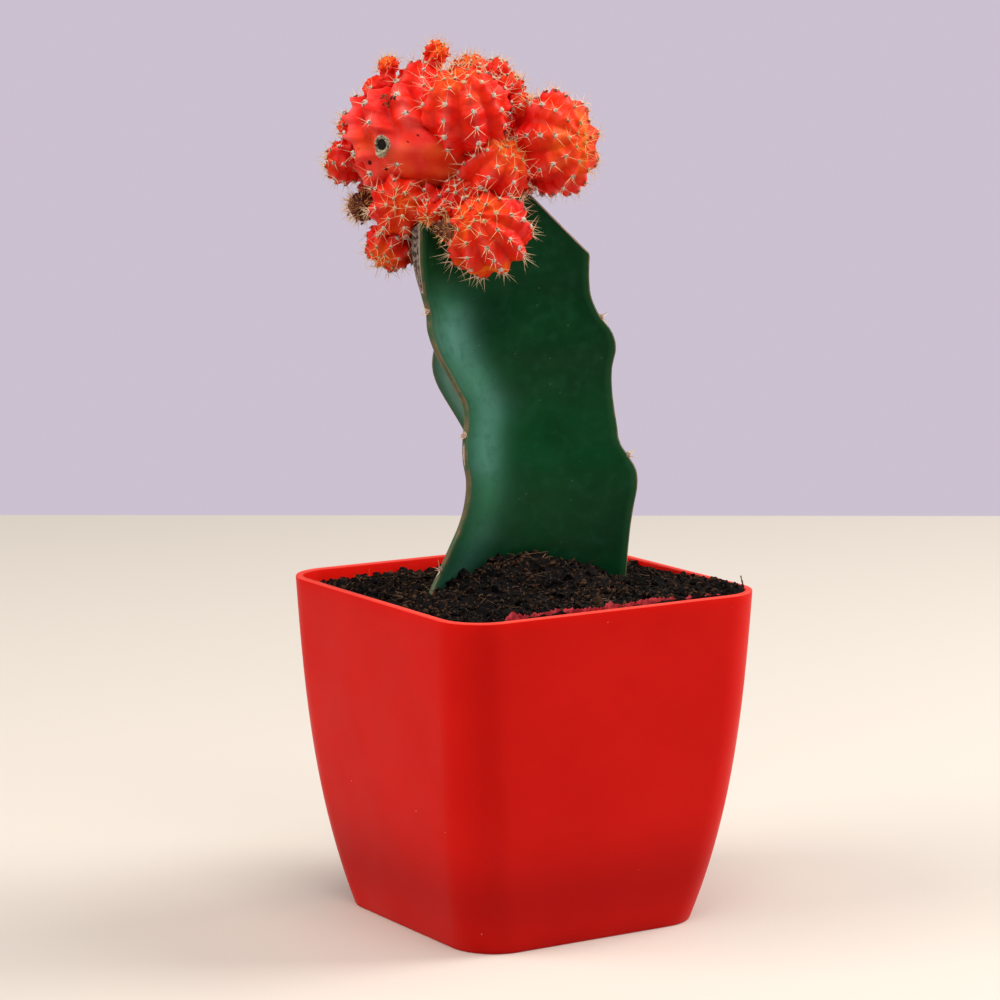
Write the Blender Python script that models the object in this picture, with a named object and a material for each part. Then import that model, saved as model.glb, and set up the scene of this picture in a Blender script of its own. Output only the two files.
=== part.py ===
"""A grafted moon cactus in a square plastic pot.

Four pieces stand in each other: the pot, the potting mix, the green three-winged
rootstock and the red scion that was grafted on top of it.

Sizes are in millimetres, and MM turns them into Blender's metres. Pot, mix and plant
share one frame: the origin is under the middle of the pot, +Z is up and the pot's sides
face along X and Y. The plant's own places are (across, back, up), turned by PLANT_TURN,
because its broad face looks towards one corner of the pot.
"""
import math
import random
from collections import namedtuple

import bmesh
import bpy
from mathutils import Matrix, Vector, noise
from mathutils.bvhtree import BVHTree

MM = 0.001
GAP = 0.3                            # clearance between two pieces that touch
PLANT_TURN = math.radians(-32.5)

# ---- pot -----------------------------------------------------------------------------
RIM_HALF = 37.5                      # half of a side, outside, at the rim
BASE_HALF = 28.5                     # the same at the base
POT_HEIGHT = 70.7
RIM_CORNER = 10.1                    # corner radius at the rim
BASE_CORNER = 9.9
FLARE_AT_BASE = 19.6                 # sideways travel per pot height, where the wall leaves the base
FLARE_AT_RIM = 3.4
WALL = 1.6
FLOOR = 2.0
EDGE_ROUND = 0.8                     # rounding where the wall meets the base
RIM_ROUND = 0.35
FOOT_WIDTH = 3.2
FOOT_RECESS = 1.2
FOOT_BEVEL = 0.4                     # from the foot's inner edge up to the recess
FLOOR_BEVEL = 1.2                    # where the inside of the wall meets the floor
DRAIN_RADIUS = 1.9
DRAIN_OFFSET = 13.0                  # how far out four of the drain holes lie, along X and Y
CORNER_STEPS = 6
WALL_RINGS = 7

# ---- potting mix ---------------------------------------------------------------------
SOIL_LEVEL = 69.3
SOIL_TILT = 0.025                    # the surface falls towards the back left
MOUND_HEIGHT = 8.4
MOUND_AT = (0.2, -9.0)               # across, back
MOUND_SPREAD = (13.5, 8.2)
CRUMB_RELIEF = 1.3
CRUMB_SCALE = 0.42                   # how close the crumbs lie, per millimetre
CLOD_RELIEF = 0.9
CLOD_SCALE = 0.13
SOIL_RINGS = 13
SOIL_SIDE_LEVELS = (58, 40, 22)      # heights of the edges round the sides, under the surface
SOIL_SIDE_POINTS = 8                 # points along one straight side of the surface

# ---- rootstock -----------------------------------------------------------------------
STEM_BOTTOM = 45.0
STEM_TOP = 152.0
RIGHT_WING = math.radians(-8.0)      # direction of each wing, from across towards back
BACK_WING = math.radians(132.0)
LEFT_WING = math.radians(228.0)
# where the stem's axis runs: (up, across)
STEM_AXIS = ((45, -3), (62, -3), (72, -2.6), (82, 0.6), (92, 2.2), (103, 0.9), (112, -0.6),
             (120, -2.9), (128, -5.4), (140, -7.8), (152, -8.5))
# the scalloped margins of the two wings that lie to the side: (up, across)
RIGHT_MARGIN = ((45, 21.6), (62, 21.6), (72, 21.8), (82, 22.6), (87.5, 23.4), (91.5, 24.1),
                (95, 23.8), (97.7, 22.2), (100.6, 20.4), (104, 19.8), (111, 18.8), (116, 18.7),
                (120.5, 19.5), (124, 18.5), (126.4, 16.5), (130.8, 14.4), (135.4, 13.9),
                (140, 14.0), (152, 13.5))
LEFT_MARGIN = ((45, -20), (62, -20.6), (70.6, -19), (75.9, -16.7), (80.6, -14.6),
               (85.2, -12.6), (89.3, -11.5), (94, -11.1), (98.6, -11.8), (103, -11.8),
               (107.3, -11.5), (110.2, -12), (113.1, -13.5), (116.5, -15.2), (120.2, -17.2),
               (125.1, -18.9), (128.6, -19.2), (133, -20.4), (139.4, -22), (145.4, -22.3),
               (152, -22.5))
BACK_REACH = 20.5                    # how far the back wing stands out from the axis
BACK_SCALLOP = 1.4
BACK_LOBE = 6.3                      # one swollen lobe of the back wing
BACK_LOBE_AT = 111.0
BACK_LOBE_SPREAD = 7.0
SCALLOP_SPACING = 27.5
MARGIN_FLAT = 0.7                    # half width of the horny edge of a wing
MARGIN_THICK = 1.25                  # half thickness of a wing just behind its edge
MARGIN_BEVEL = 0.9
FACE_HOLLOW = 0.37                   # how far the faces are drawn in towards the axis
FACE_STEPS = 6
STEM_LEVEL_STEP = 2.9
# the slanting cuts that took the wings' shoulders off: direction in degrees, how far along it from the
# stem's axis and how high a place on the cut lies, and the cut's steepness
SHOULDER_CUTS = ((0.0, 21.5, 139.1, 1.0), (228.0, 19.8, 144.9, 0.85), (132.0, 15.0, 143.0, 1.1))
SMOOTH_FROM = 62.0                   # the margins' curves are followed from this height up
STEM_AREOLES = {"right": (97.7, 126.4), "left": (75.9, 103.0, 128.6), "back": (83.5, 111.0, 136.0)}
AREOLE_RADIUS = 0.95
STEM_SPINES = 3                      # at each areole
STEM_SPINE_LENGTH = (1.2, 3.4)
STEM_SPINE_ROOT = 0.22
STEM_SPINE_SINK = 0.4

# ---- scion ---------------------------------------------------------------------------
Body = namedtuple("Body", "centre radius apex ribs flat twist")
# centre (across, back, up); radius; where the growing point looks (turn from across towards
# back, rise; degrees); number of ribs; height along the axis for a width of 1; turn of the ribs
MOTHER = Body((-24.0, -1.5, 162.8), 12.6, (200, 78), 8, 0.98, -24)
BODIES = (
    Body((-8.8, 0.5, 159.5), 10.0, (90, 90), 5, 1.0, 0),         # inner core
    Body((-17.5, -3.5, 153.2), 6.6, (250, 0), 6, 0.95, 0),       # inner core, below
    Body((-12.0, -4.5, 170.1), 9.9, (265, 64), 9, 0.96, 11),     # big, on top
    Body((7.1, -2.0, 162.6), 10.5, (346, 4), 9, 0.8, -10),       # big, at the right
    Body((-6.9, -13.5, 144.1), 9.2, (262, 18), 9, 0.9, 10),      # big, hangs before the stem
    Body((-5.8, -9.0, 157.4), 7.3, (298, 46), 8, 0.93, 0),
    Body((-25.0, -10.5, 150.2), 6.4, (252, 8), 8, 0.9, 12),
    Body((-12.3, -10.5, 151.2), 4.7, (262, 5), 7, 0.9, 0),
    Body((-18.8, -10.5, 150.0), 4.6, (250, -5), 7, 0.9, 0),
    Body((-16.8, -12.5, 147.0), 3.1, (262, -30), 6, 0.9, 0),     # dried, over the stem's face
    Body((-20.6, 0.0, 174.0), 5.6, (70, 66), 8, 0.95, 0),
    Body((-26.8, -7.5, 141.9), 5.4, (238, -38), 8, 0.92, 0),     # low, left of the wing
    Body((-36.7, 1.0, 157.6), 4.5, (180, 5), 7, 0.9, 0),
    Body((-33.0, 0.5, 149.3), 3.3, (190, -30), 6, 0.9, 0),       # withered bud
    Body((-36.0, 1.5, 165.8), 2.2, (180, 30), 5, 0.9, 0),
    Body((-30.3, 0.0, 173.8), 2.9, (150, 45), 6, 0.9, 0),
    Body((-27.4, 0.0, 175.2), 2.1, (150, 75), 5, 1.2, 0),        # neck of the next bud
    Body((-27.3, 0.0, 178.3), 2.4, (150, 80), 6, 0.9, 0),
    Body((-18.4, 0.0, 179.2), 2.1, (120, 75), 5, 1.2, 0),        # neck of the next bud
    Body((-17.4, -0.5, 181.6), 2.6, (60, 60), 6, 0.95, 0),
    Body((-5.0, -3.0, 177.6), 2.6, (330, 60), 6, 0.9, 0),
    Body((-2.4, -4.0, 174.2), 3.1, (330, 45), 6, 0.9, 0),
    Body((-0.4, -5.0, 170.6), 2.7, (330, 25), 6, 0.9, 0),
    Body((0.8, -5.5, 154.2), 2.1, (300, -20), 5, 0.9, 0),
    Body((-15.0, 11.5, 169.5), 8.4, (85, 45), 9, 0.92, 0),       # the far side
    Body((-27.0, 12.0, 161.0), 7.8, (125, 15), 8, 0.92, 0),
    Body((-7.0, 13.0, 158.5), 8.2, (70, 5), 9, 0.92, 0),
    Body((-18.0, 14.5, 152.8), 6.6, (100, -20), 8, 0.92, 0),
    Body((2.6, 8.5, 166.2), 5.4, (30, 40), 7, 0.92, 0),
    Body((-29.8, 8.5, 169.6), 4.4, (140, 45), 7, 0.92, 0),
    Body((-30.0, 5.0, 152.6), 4.2, (165, -25), 7, 0.92, 0),
    Body((-9.0, 8.5, 175.6), 3.8, (60, 65), 6, 0.92, 0),
    Body((-4.6, 9.5, 151.2), 4.6, (50, -35), 7, 0.92, 0),
)
RIB_DEPTH = 0.14                     # of the body's radius
TUBERCLE_RELIEF = 0.055
TUBERCLE_LAG = 0.9                   # how far below its areole a tubercle is fullest
APEX_DIMPLE = 0.09
AREOLE_SPACING = (2.0, 0.2, 4.9)     # plain part, share of the radius, most
FIRST_AREOLE = 0.4                   # polar angle of a rib's first areole, in radians
LAST_AREOLE = 2.0
SPINE_SINK = 0.7                     # how deep a spine's root goes
SPINE_ROOT = 0.15                    # radius of a spine where it leaves its areole
SPINE_LENGTH = (1.6, 3.6)
SPINES_IN_ALL = 240
SPINE_LEAN = (0.35, 1.05)            # from the outward direction, in radians
SPINE_TURNS = (40, 140, 220, 320)    # round the areole, from straight down its rib, in degrees
AREOLE_EDGE = 0.55                   # how far from an areole's middle its spines stand
SPINE_CLEARANCE = 0.5                # between a spine and the rootstock
SEED = 7


# ---- helpers -------------------------------------------------------------------------
def clear_scene():
    """Remove whatever the file opened with."""
    for thing in list(bpy.data.objects):
        bpy.data.objects.remove(thing, do_unlink=True)


def finish(name, color, roughness, metallic=0.0):
    """A plain Principled material."""
    material = bpy.data.materials.new(name)
    material.use_nodes = True
    shader = material.node_tree.nodes["Principled BSDF"]
    shader.inputs["Base Color"].default_value = (*color, 1.0)
    shader.inputs["Roughness"].default_value = roughness
    shader.inputs["Metallic"].default_value = metallic
    return material


def plant_point(across, back, up):
    """A place on the plant, in millimetres, turned into the pot's frame."""
    return Matrix.Rotation(PLANT_TURN, 4, "Z") @ Vector((across, back, up))


def plant_direction(turn, rise):
    """A direction on the plant from two angles in degrees."""
    turn, rise = math.radians(turn), math.radians(rise)
    level = math.cos(rise)
    return plant_point(level * math.cos(turn), level * math.sin(turn), math.sin(rise))


def smooth(points, x):
    """Read a smooth curve through (x, y) points, level past both ends."""
    if x <= points[0][0]:
        return points[0][1]
    if x >= points[-1][0]:
        return points[-1][1]
    i = max(k for k in range(len(points) - 1) if points[k][0] <= x)

    def slope(k):
        a, b = points[max(k - 1, 0)], points[min(k + 1, len(points) - 1)]
        return (b[1] - a[1]) / (b[0] - a[0])

    (x0, y0), (x1, y1) = points[i], points[i + 1]
    span = x1 - x0
    t = (x - x0) / span
    return ((2 * t**3 - 3 * t**2 + 1) * y0 + (t**3 - 2 * t**2 + t) * span * slope(i)
            + (3 * t**2 - 2 * t**3) * y1 + (t**3 - t**2) * span * slope(i + 1))


def object_from(name, bm, material=None):
    """Turn a bmesh in millimetres into an object in metres."""
    bmesh.ops.scale(bm, vec=(MM, MM, MM), verts=bm.verts)
    bmesh.ops.recalc_face_normals(bm, faces=bm.faces)
    mesh = bpy.data.meshes.new(name)
    bm.to_mesh(mesh)
    bm.free()
    thing = bpy.data.objects.new(name, mesh)
    bpy.context.scene.collection.objects.link(thing)
    if material:
        mesh.materials.append(material)
    return thing


def loft(bm, rings):
    """Bridge rings of equal length with quads and close both ends."""
    made = [[bm.verts.new(point) for point in ring] for ring in rings]
    count = len(made[0])
    for low, high in zip(made, made[1:]):
        for i in range(count):
            j = (i + 1) % count
            bm.faces.new((low[i], low[j], high[j], high[i]))
    bm.faces.new(reversed(made[0]))
    bm.faces.new(made[-1])
    return made


def keep_main_shell(mesh):
    """Drop loose scraps and the inner skins of sealed hollows, which fills them."""
    bm = bmesh.new()
    bm.from_mesh(mesh)
    bm.verts.ensure_lookup_table()
    seen = set()
    shells = []
    for start in bm.verts:
        if start.index in seen:
            continue
        seen.add(start.index)
        shell, queue = [], [start]
        while queue:
            vert = queue.pop()
            shell.append(vert)
            for edge in vert.link_edges:
                other = edge.other_vert(vert)
                if other.index not in seen:
                    seen.add(other.index)
                    queue.append(other)
        shells.append(shell)
    shells.sort(key=len, reverse=True)
    for shell in shells[1:]:
        bmesh.ops.delete(bm, geom=shell, context="VERTS")
    bm.to_mesh(mesh)
    bm.free()


def combine(thing, others, operation, solver="EXACT"):
    """Join others to thing, or cut them out of it, apply that and remove them."""
    group = bpy.data.collections.new("operands")
    bpy.context.scene.collection.children.link(group)
    for other in others:
        group.objects.link(other)
    boolean = thing.modifiers.new("combine", "BOOLEAN")
    boolean.operation = operation
    boolean.solver = solver
    boolean.operand_type = "COLLECTION"
    boolean.collection = group
    apply_modifiers(thing)
    for other in others:
        bpy.data.objects.remove(other, do_unlink=True)
    bpy.data.collections.remove(group)
    keep_main_shell(thing.data)


def apply_modifiers(thing):
    """Replace a thing's mesh by what its modifiers make of it."""
    made = thing.evaluated_get(bpy.context.evaluated_depsgraph_get())
    mesh = bpy.data.meshes.new_from_object(made)
    thing.modifiers.clear()
    thing.data = mesh


def shade(thing, angle):
    """Smooth shading, with edges sharper than the angle left crisp."""
    thing.data.shade_smooth()
    thing.data.set_sharp_from_angle(angle=math.radians(angle))


def spine(root, direction, length, radius, sink):
    """One straight three-sided spine as its own small object."""
    bm = bmesh.new()
    depth = length + sink
    turn = direction.to_track_quat("Z", "Y").to_matrix().to_4x4()
    middle = Matrix.Translation(root + direction * (depth / 2 - sink))
    bmesh.ops.create_cone(bm, cap_ends=True, segments=3, radius1=radius, radius2=0.0,
                          depth=depth, matrix=middle @ turn)
    return object_from("spine", bm)


# ---- pot -----------------------------------------------------------------------------
def pot_half(height):
    """Half of the pot's outer side at a height: steep at the rim, flaring from the base."""
    t = min(max(height / POT_HEIGHT, 0.0), 1.0)
    return ((2 * t**3 - 3 * t**2 + 1) * BASE_HALF + (t**3 - 2 * t**2 + t) * FLARE_AT_BASE
            + (3 * t**2 - 2 * t**3) * RIM_HALF + (t**3 - t**2) * FLARE_AT_RIM)


def corner_radius(height):
    """Radius of the pot's upright corners at a height."""
    return BASE_CORNER + (RIM_CORNER - BASE_CORNER) * min(max(height / POT_HEIGHT, 0.0), 1.0)


def square_ring(half, radius, height, side_points=0, steps=CORNER_STEPS):
    """A rounded square as a closed ring of points, with extra points along its sides."""
    ring = []
    for quarter in range(4):
        turn = Matrix.Rotation(quarter * math.pi / 2, 3, "Z")
        for i in range(steps + 1):
            angle = i * math.pi / 2 / steps
            ring.append(turn @ Vector((half - radius + radius * math.cos(angle),
                                       half - radius + radius * math.sin(angle), height)))
        start = Vector((half - radius, half, height))
        for i in range(1, side_points + 1):
            share = i / (side_points + 1)
            ring.append(turn @ Vector((start.x - share * 2 * (half - radius), half, height)))
    return ring


def inset_ring(height, inset, level=None, **options):
    """The pot's outline at a height, drawn in by an inset."""
    half = pot_half(height) - inset
    radius = max(corner_radius(height) - inset, 0.5)
    return square_ring(half, radius, height if level is None else level, **options)


def build_pot(material):
    """A thin-walled square pot with a recessed, drilled base."""
    bm = bmesh.new()
    rings = [inset_ring(0, FOOT_WIDTH + FOOT_BEVEL, FOOT_RECESS), inset_ring(0, FOOT_WIDTH)]
    for i in range(4):
        angle = i * math.pi / 6
        height = EDGE_ROUND * (1 - math.cos(angle))
        rings.append(inset_ring(height, EDGE_ROUND * (1 - math.sin(angle))))
    for i in range(1, WALL_RINGS + 1):
        rings.append(inset_ring(EDGE_ROUND + (POT_HEIGHT - RIM_ROUND - EDGE_ROUND) * i / WALL_RINGS, 0))
    rings.append(inset_ring(POT_HEIGHT, RIM_ROUND))
    rings.append(inset_ring(POT_HEIGHT, WALL - RIM_ROUND))
    floor_top = FOOT_RECESS + FLOOR
    inside = POT_HEIGHT - RIM_ROUND - floor_top - FLOOR_BEVEL
    for i in range(WALL_RINGS + 1):
        rings.append(inset_ring(POT_HEIGHT - RIM_ROUND - inside * i / WALL_RINGS, WALL))
    rings.append(inset_ring(floor_top, WALL + FLOOR_BEVEL))
    loft(bm, rings)
    pot = object_from("pot", bm, material)

    drains = []
    for x, y in ((0, 0), (1, 0), (0, 1), (-1, 0), (0, -1)):
        cutter = bmesh.new()
        place = Matrix.Translation((x * DRAIN_OFFSET, y * DRAIN_OFFSET, floor_top / 2))
        bmesh.ops.create_cone(cutter, cap_ends=True, segments=16, radius1=DRAIN_RADIUS,
                              radius2=DRAIN_RADIUS, depth=floor_top * 2, matrix=place)
        drains.append(object_from("drain", cutter))
    combine(pot, drains, "DIFFERENCE")
    shade(pot, 35)
    return pot


# ---- rootstock -----------------------------------------------------------------------
def wing_tips(height):
    """Direction and reach of the three wings at a height, anticlockwise."""
    axis = smooth(STEM_AXIS, height)
    right = (smooth(RIGHT_MARGIN, height) - axis) / math.cos(RIGHT_WING)
    left = (axis - smooth(LEFT_MARGIN, height)) / -math.cos(LEFT_WING)
    phase = math.tau * (BACK_LOBE_AT - height) / SCALLOP_SPACING
    lobe = BACK_LOBE * math.exp(-((height - BACK_LOBE_AT) / BACK_LOBE_SPREAD) ** 2)
    back = BACK_REACH + BACK_SCALLOP * math.sin(phase + 0.6) + lobe
    return axis, ((RIGHT_WING, right), (BACK_WING, back), (LEFT_WING, left))


def stem_section(height, grow=0.0):
    """The three-winged outline at a height, with concave faces between the wings."""
    axis, wings = wing_tips(height)
    outline = []
    for k, (turn, reach) in enumerate(wings):
        along = Vector((math.cos(turn), math.sin(turn)))
        aside = Vector((-along.y, along.x))
        next_turn, next_reach = wings[(k + 1) % 3]
        next_along = Vector((math.cos(next_turn), math.sin(next_turn)))
        next_aside = Vector((-next_along.y, next_along.x))
        thick = MARGIN_THICK + grow
        flat = MARGIN_FLAT + grow * 0.6
        tip = reach + grow
        outline.append(along * tip - aside * flat)
        outline.append(along * tip + aside * flat)
        start = along * (tip - MARGIN_BEVEL) + aside * thick
        end = next_along * (next_reach + grow - MARGIN_BEVEL) - next_aside * thick
        pull_start = start - along * reach * FACE_HOLLOW
        pull_end = end - next_along * next_reach * FACE_HOLLOW
        for i in range(FACE_STEPS + 1):
            t = i / FACE_STEPS
            outline.append((1 - t) ** 3 * start + 3 * t * (1 - t) ** 2 * pull_start
                           + 3 * t * t * (1 - t) * pull_end + t**3 * end)
    return [plant_point(axis + p.x, p.y, height) for p in outline]


def stem_body(name, grow=0.0):
    """The stem between its buried end and its cuts, or the same form grown on all sides."""
    bottom, top = STEM_BOTTOM - grow, STEM_TOP + grow
    span = top - SMOOTH_FROM
    steps = round(span / STEM_LEVEL_STEP)
    heights = [bottom] + [SMOOTH_FROM + span * i / steps for i in range(steps + 1)]
    bm = bmesh.new()
    loft(bm, [stem_section(height, grow) for height in heights])
    for turn, along, up, steepness in SHOULDER_CUTS:
        direction = plant_direction(turn, 0)
        axis = plant_point(smooth(STEM_AXIS, up), 0, up)
        normal = (direction * steepness + Vector((0, 0, 1))).normalized()
        cut = bmesh.ops.bisect_plane(bm, geom=bm.verts[:] + bm.edges[:] + bm.faces[:],
                                     plane_co=axis + direction * along + normal * grow,
                                     plane_no=normal, clear_outer=True)
        rim = [edge for edge in cut["geom_cut"] if isinstance(edge, bmesh.types.BMEdge)]
        bmesh.ops.contextual_create(bm, geom=rim)
    bmesh.ops.triangulate(bm, faces=[face for face in bm.faces if len(face.verts) > 4])
    return object_from(name, bm)


def build_rootstock(material, draw):
    """The stem with an areole pad and a few spines at each scallop's crest."""
    stem = stem_body("rootstock")
    stem.data.materials.append(material)
    growth = []
    for side, heights in STEM_AREOLES.items():
        for height in heights:
            axis, wings = wing_tips(height)
            turn, reach = wings[("right", "back", "left").index(side)]
            place = plant_point(axis + reach * math.cos(turn), reach * math.sin(turn), height)
            outward = plant_direction(math.degrees(turn), 12)
            pad = bmesh.new()
            flat = Matrix.Diagonal((0.75, 0.75, 1.0, 1.0))
            bmesh.ops.create_icosphere(pad, subdivisions=1, radius=AREOLE_RADIUS,
                                       matrix=Matrix.Translation(place) @ flat)
            growth.append(object_from("areole", pad))
            for _ in range(STEM_SPINES):
                lean = Vector((draw.uniform(-1, 1), draw.uniform(-1, 1), draw.uniform(-0.7, 1)))
                length = draw.uniform(*STEM_SPINE_LENGTH)
                direction = (outward + lean * 0.6).normalized()
                growth.append(spine(place, direction, length, STEM_SPINE_ROOT, STEM_SPINE_SINK))
    combine(stem, growth, "UNION")
    shade(stem, 40)
    return stem


# ---- potting mix ---------------------------------------------------------------------
def soil_height(point):
    """Height of the mix over a place in the pot: a level, a mound, clods and crumbs."""
    local = Matrix.Rotation(-PLANT_TURN, 4, "Z") @ Vector((point.x, point.y, 0))
    aside = (local.x - MOUND_AT[0]) / MOUND_SPREAD[0]
    away = (local.y - MOUND_AT[1]) / MOUND_SPREAD[1]
    mound = MOUND_HEIGHT * math.exp(-0.5 * (aside**2 + away**2))
    clods = CLOD_RELIEF * noise.noise(Vector((point.x, point.y, 20.0)) * CLOD_SCALE)
    crumbs = CRUMB_RELIEF * noise.noise(Vector((point.x, point.y, 5.0)) * CRUMB_SCALE)
    return SOIL_LEVEL + SOIL_TILT * (local.x - local.y) + mound + clods + crumbs


def build_soil(material):
    """The mix that fills the pot, with a plain hole where the stem stands."""
    bm = bmesh.new()
    top = inset_ring(SOIL_LEVEL, WALL + GAP, side_points=SOIL_SIDE_POINTS)
    rings = []
    for j in range(1, SOIL_RINGS + 1):
        share = j / SOIL_RINGS
        ring = []
        for point in top:
            place = point * share
            place.z = soil_height(place)
            if j == SOIL_RINGS:
                place.z = min(place.z, POT_HEIGHT - RIM_ROUND)
            ring.append(place)
        rings.append(ring)
    floor_top = FOOT_RECESS + FLOOR + GAP
    levels = (*SOIL_SIDE_LEVELS, floor_top + FLOOR_BEVEL)
    rings += [inset_ring(level, WALL + GAP, side_points=SOIL_SIDE_POINTS) for level in levels]
    rings.append(inset_ring(floor_top, WALL + GAP + FLOOR_BEVEL, side_points=SOIL_SIDE_POINTS))
    made = loft(bm, rings)
    bm.verts.ensure_lookup_table()
    inner = [face for face in bm.faces if len(face.verts) > 4 and all(v in made[0] for v in face.verts)]
    bmesh.ops.poke(bm, faces=inner)
    soil = object_from("soil", bm, material)
    combine(soil, [stem_body("socket", GAP)], "DIFFERENCE")
    shade(soil, 25)
    return soil


# ---- scion ---------------------------------------------------------------------------
def body_axes(body):
    """A body's axis and two directions square to it, the first turned with its ribs."""
    axis = plant_direction(*body.apex)
    front = plant_point(0, -1, 0)
    guide = front if abs(axis.dot(front)) < 0.75 else Vector((0, 0, 1))
    first = (guide - axis * guide.dot(axis)).normalized()
    second = axis.cross(first)
    twist = math.radians(body.twist)
    return (axis, first * math.cos(twist) + second * math.sin(twist),
            second * math.cos(twist) - first * math.sin(twist))


def areole_step(body):
    """The angle from one areole of a rib to the next."""
    plain, share, most = AREOLE_SPACING
    return min(plain + share * body.radius, most) / body.radius


def skin_radius(body, polar, around):
    """Distance from a body's middle to its skin: ribs, tubercles and a dimpled top."""
    across = (around * body.ribs / math.tau + 0.5) % 1.0 - 0.5
    ridge = 1.0 - 4.0 * across * across
    fade = max(math.sin(polar), 0.0) ** 0.8
    phase = math.tau * (polar - FIRST_AREOLE) / areole_step(body)
    tubercle = TUBERCLE_RELIEF * ridge * math.cos(phase - TUBERCLE_LAG) * fade
    dimple = APEX_DIMPLE * math.exp(-((polar / 0.33) ** 2))
    return body.radius * (1.0 - RIB_DEPTH * (1.0 - ridge) * fade + tubercle - dimple)


def skin_point(body, polar, around):
    """A place on a body's skin and, roughly, the direction that it faces there."""
    axis, first, second = body_axes(body)
    level = first * math.cos(around) + second * math.sin(around)
    reach = skin_radius(body, polar, around)
    up, out = axis * math.cos(polar), level * math.sin(polar)
    return plant_point(*body.centre) + up * reach * body.flat + out * reach, (up + out).normalized()


def body_object(body):
    """One ribbed body: rings at its areoles and between them, and a pole at each end."""
    half_step = areole_step(body) / 2
    rings = round((LAST_AREOLE - FIRST_AREOLE) / half_step)
    polars = [FIRST_AREOLE + half_step * j for j in range(rings + 1)]
    polars.append((polars[-1] + math.pi) / 2)
    count = body.ribs * 2
    bm = bmesh.new()
    made = [[bm.verts.new(skin_point(body, polar, math.tau * i / count)[0]) for i in range(count)]
            for polar in polars]
    for low, high in zip(made, made[1:]):
        for i in range(count):
            k = (i + 1) % count
            bm.faces.new((low[i], low[k], high[k], high[i]))
    for ring, polar in ((made[0], 0.0), (made[-1], math.pi)):
        pole = bm.verts.new(skin_point(body, polar, 0.0)[0])
        for i in range(count):
            bm.faces.new((pole, ring[i], ring[(i + 1) % count]))
    return object_from("body", bm)


def areoles_of(body):
    """Every areole of a body, along its ribs from the top down."""
    step = areole_step(body)
    rows = int((LAST_AREOLE - FIRST_AREOLE) / step) + 1
    return [skin_point(body, FIRST_AREOLE + row * step, math.tau * rib / body.ribs)
            for rib in range(body.ribs) for row in range(rows)]


def buried(point, bodies, own):
    """Whether a place lies inside another body."""
    return any(body is not own and (plant_point(*body.centre) - point).length < body.radius * 0.97
               for body in bodies)


def open_spines(bodies, stem, draw):
    """Spines round the edge of each areole, where they are in the open and clear of the stem."""
    skin = BVHTree.FromObject(stem, bpy.context.evaluated_depsgraph_get())
    ready = []
    for body in bodies:
        for place, outward in areoles_of(body):
            level = outward.cross(body_axes(body)[0]).normalized()
            down = level.cross(outward)
            for angle in SPINE_TURNS:
                lean = draw.uniform(*SPINE_LEAN)
                length = draw.uniform(*SPINE_LENGTH) * min(1.0, 0.45 + body.radius / 12)
                angle = math.radians(angle + draw.uniform(-12, 12))
                side = down * math.cos(angle) + level * math.sin(angle)
                root = place + side * AREOLE_EDGE
                direction = outward * math.cos(lean) + side * math.sin(lean)
                ends = (root + outward * 0.4, root + direction * length)
                if any(buried(end, bodies, body) for end in ends):
                    continue
                samples = [(root + direction * length * share) * MM for share in (0.0, 0.5, 1.0)]
                if min(skin.find_nearest(sample)[3] for sample in samples) > SPINE_CLEARANCE * MM:
                    ready.append((root, direction, length))
    return ready


def build_scion(material, stem, draw):
    """The red cluster, grown together as one piece and seated on the cut stem."""
    bodies = (MOTHER,) + BODIES
    solids = [body_object(body) for body in bodies]
    scion = solids[0]
    scion.name = "scion"
    spines = open_spines(bodies, stem, draw)
    chosen = [spines[i * len(spines) // SPINES_IN_ALL] for i in range(SPINES_IN_ALL)]
    solids += [spine(*each, SPINE_ROOT, SPINE_SINK) for each in chosen]
    # the overlapping bodies share cut edges that the exact solver leaves open
    combine(scion, solids[1:], "UNION", "MANIFOLD")
    combine(scion, [stem_body("seat", GAP)], "DIFFERENCE", "MANIFOLD")
    scion.data.materials.clear()
    scion.data.materials.append(material)
    shade(scion, 38)
    return scion


def build():
    """Make the four pieces."""
    clear_scene()
    draw = random.Random(SEED)
    build_pot(finish("red plastic", (0.62, 0.02, 0.012), 0.38))
    stem = build_rootstock(finish("green skin", (0.006, 0.045, 0.018), 0.42), draw)
    build_soil(finish("potting mix", (0.018, 0.012, 0.009), 0.95))
    build_scion(finish("red skin", (0.75, 0.035, 0.015), 0.45), stem, draw)


build()
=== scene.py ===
# %% [markdown]
# # A grafted moon cactus in a square pot
# A moon cactus is two plants. The red one has no green of its own and would starve, so it is
# grafted on a green, three-winged rootstock, which feeds it. The solids of the pot, the mix,
# the rootstock and the red scion come from the frame. This script gives each of them its
# finish, and models again, more finely, what shows its form from close by.

# %% Load the frame
import math
import random
from collections import namedtuple

import bmesh
import bpy
import numpy as np
from mathutils import Euler, Matrix, Vector, noise


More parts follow.
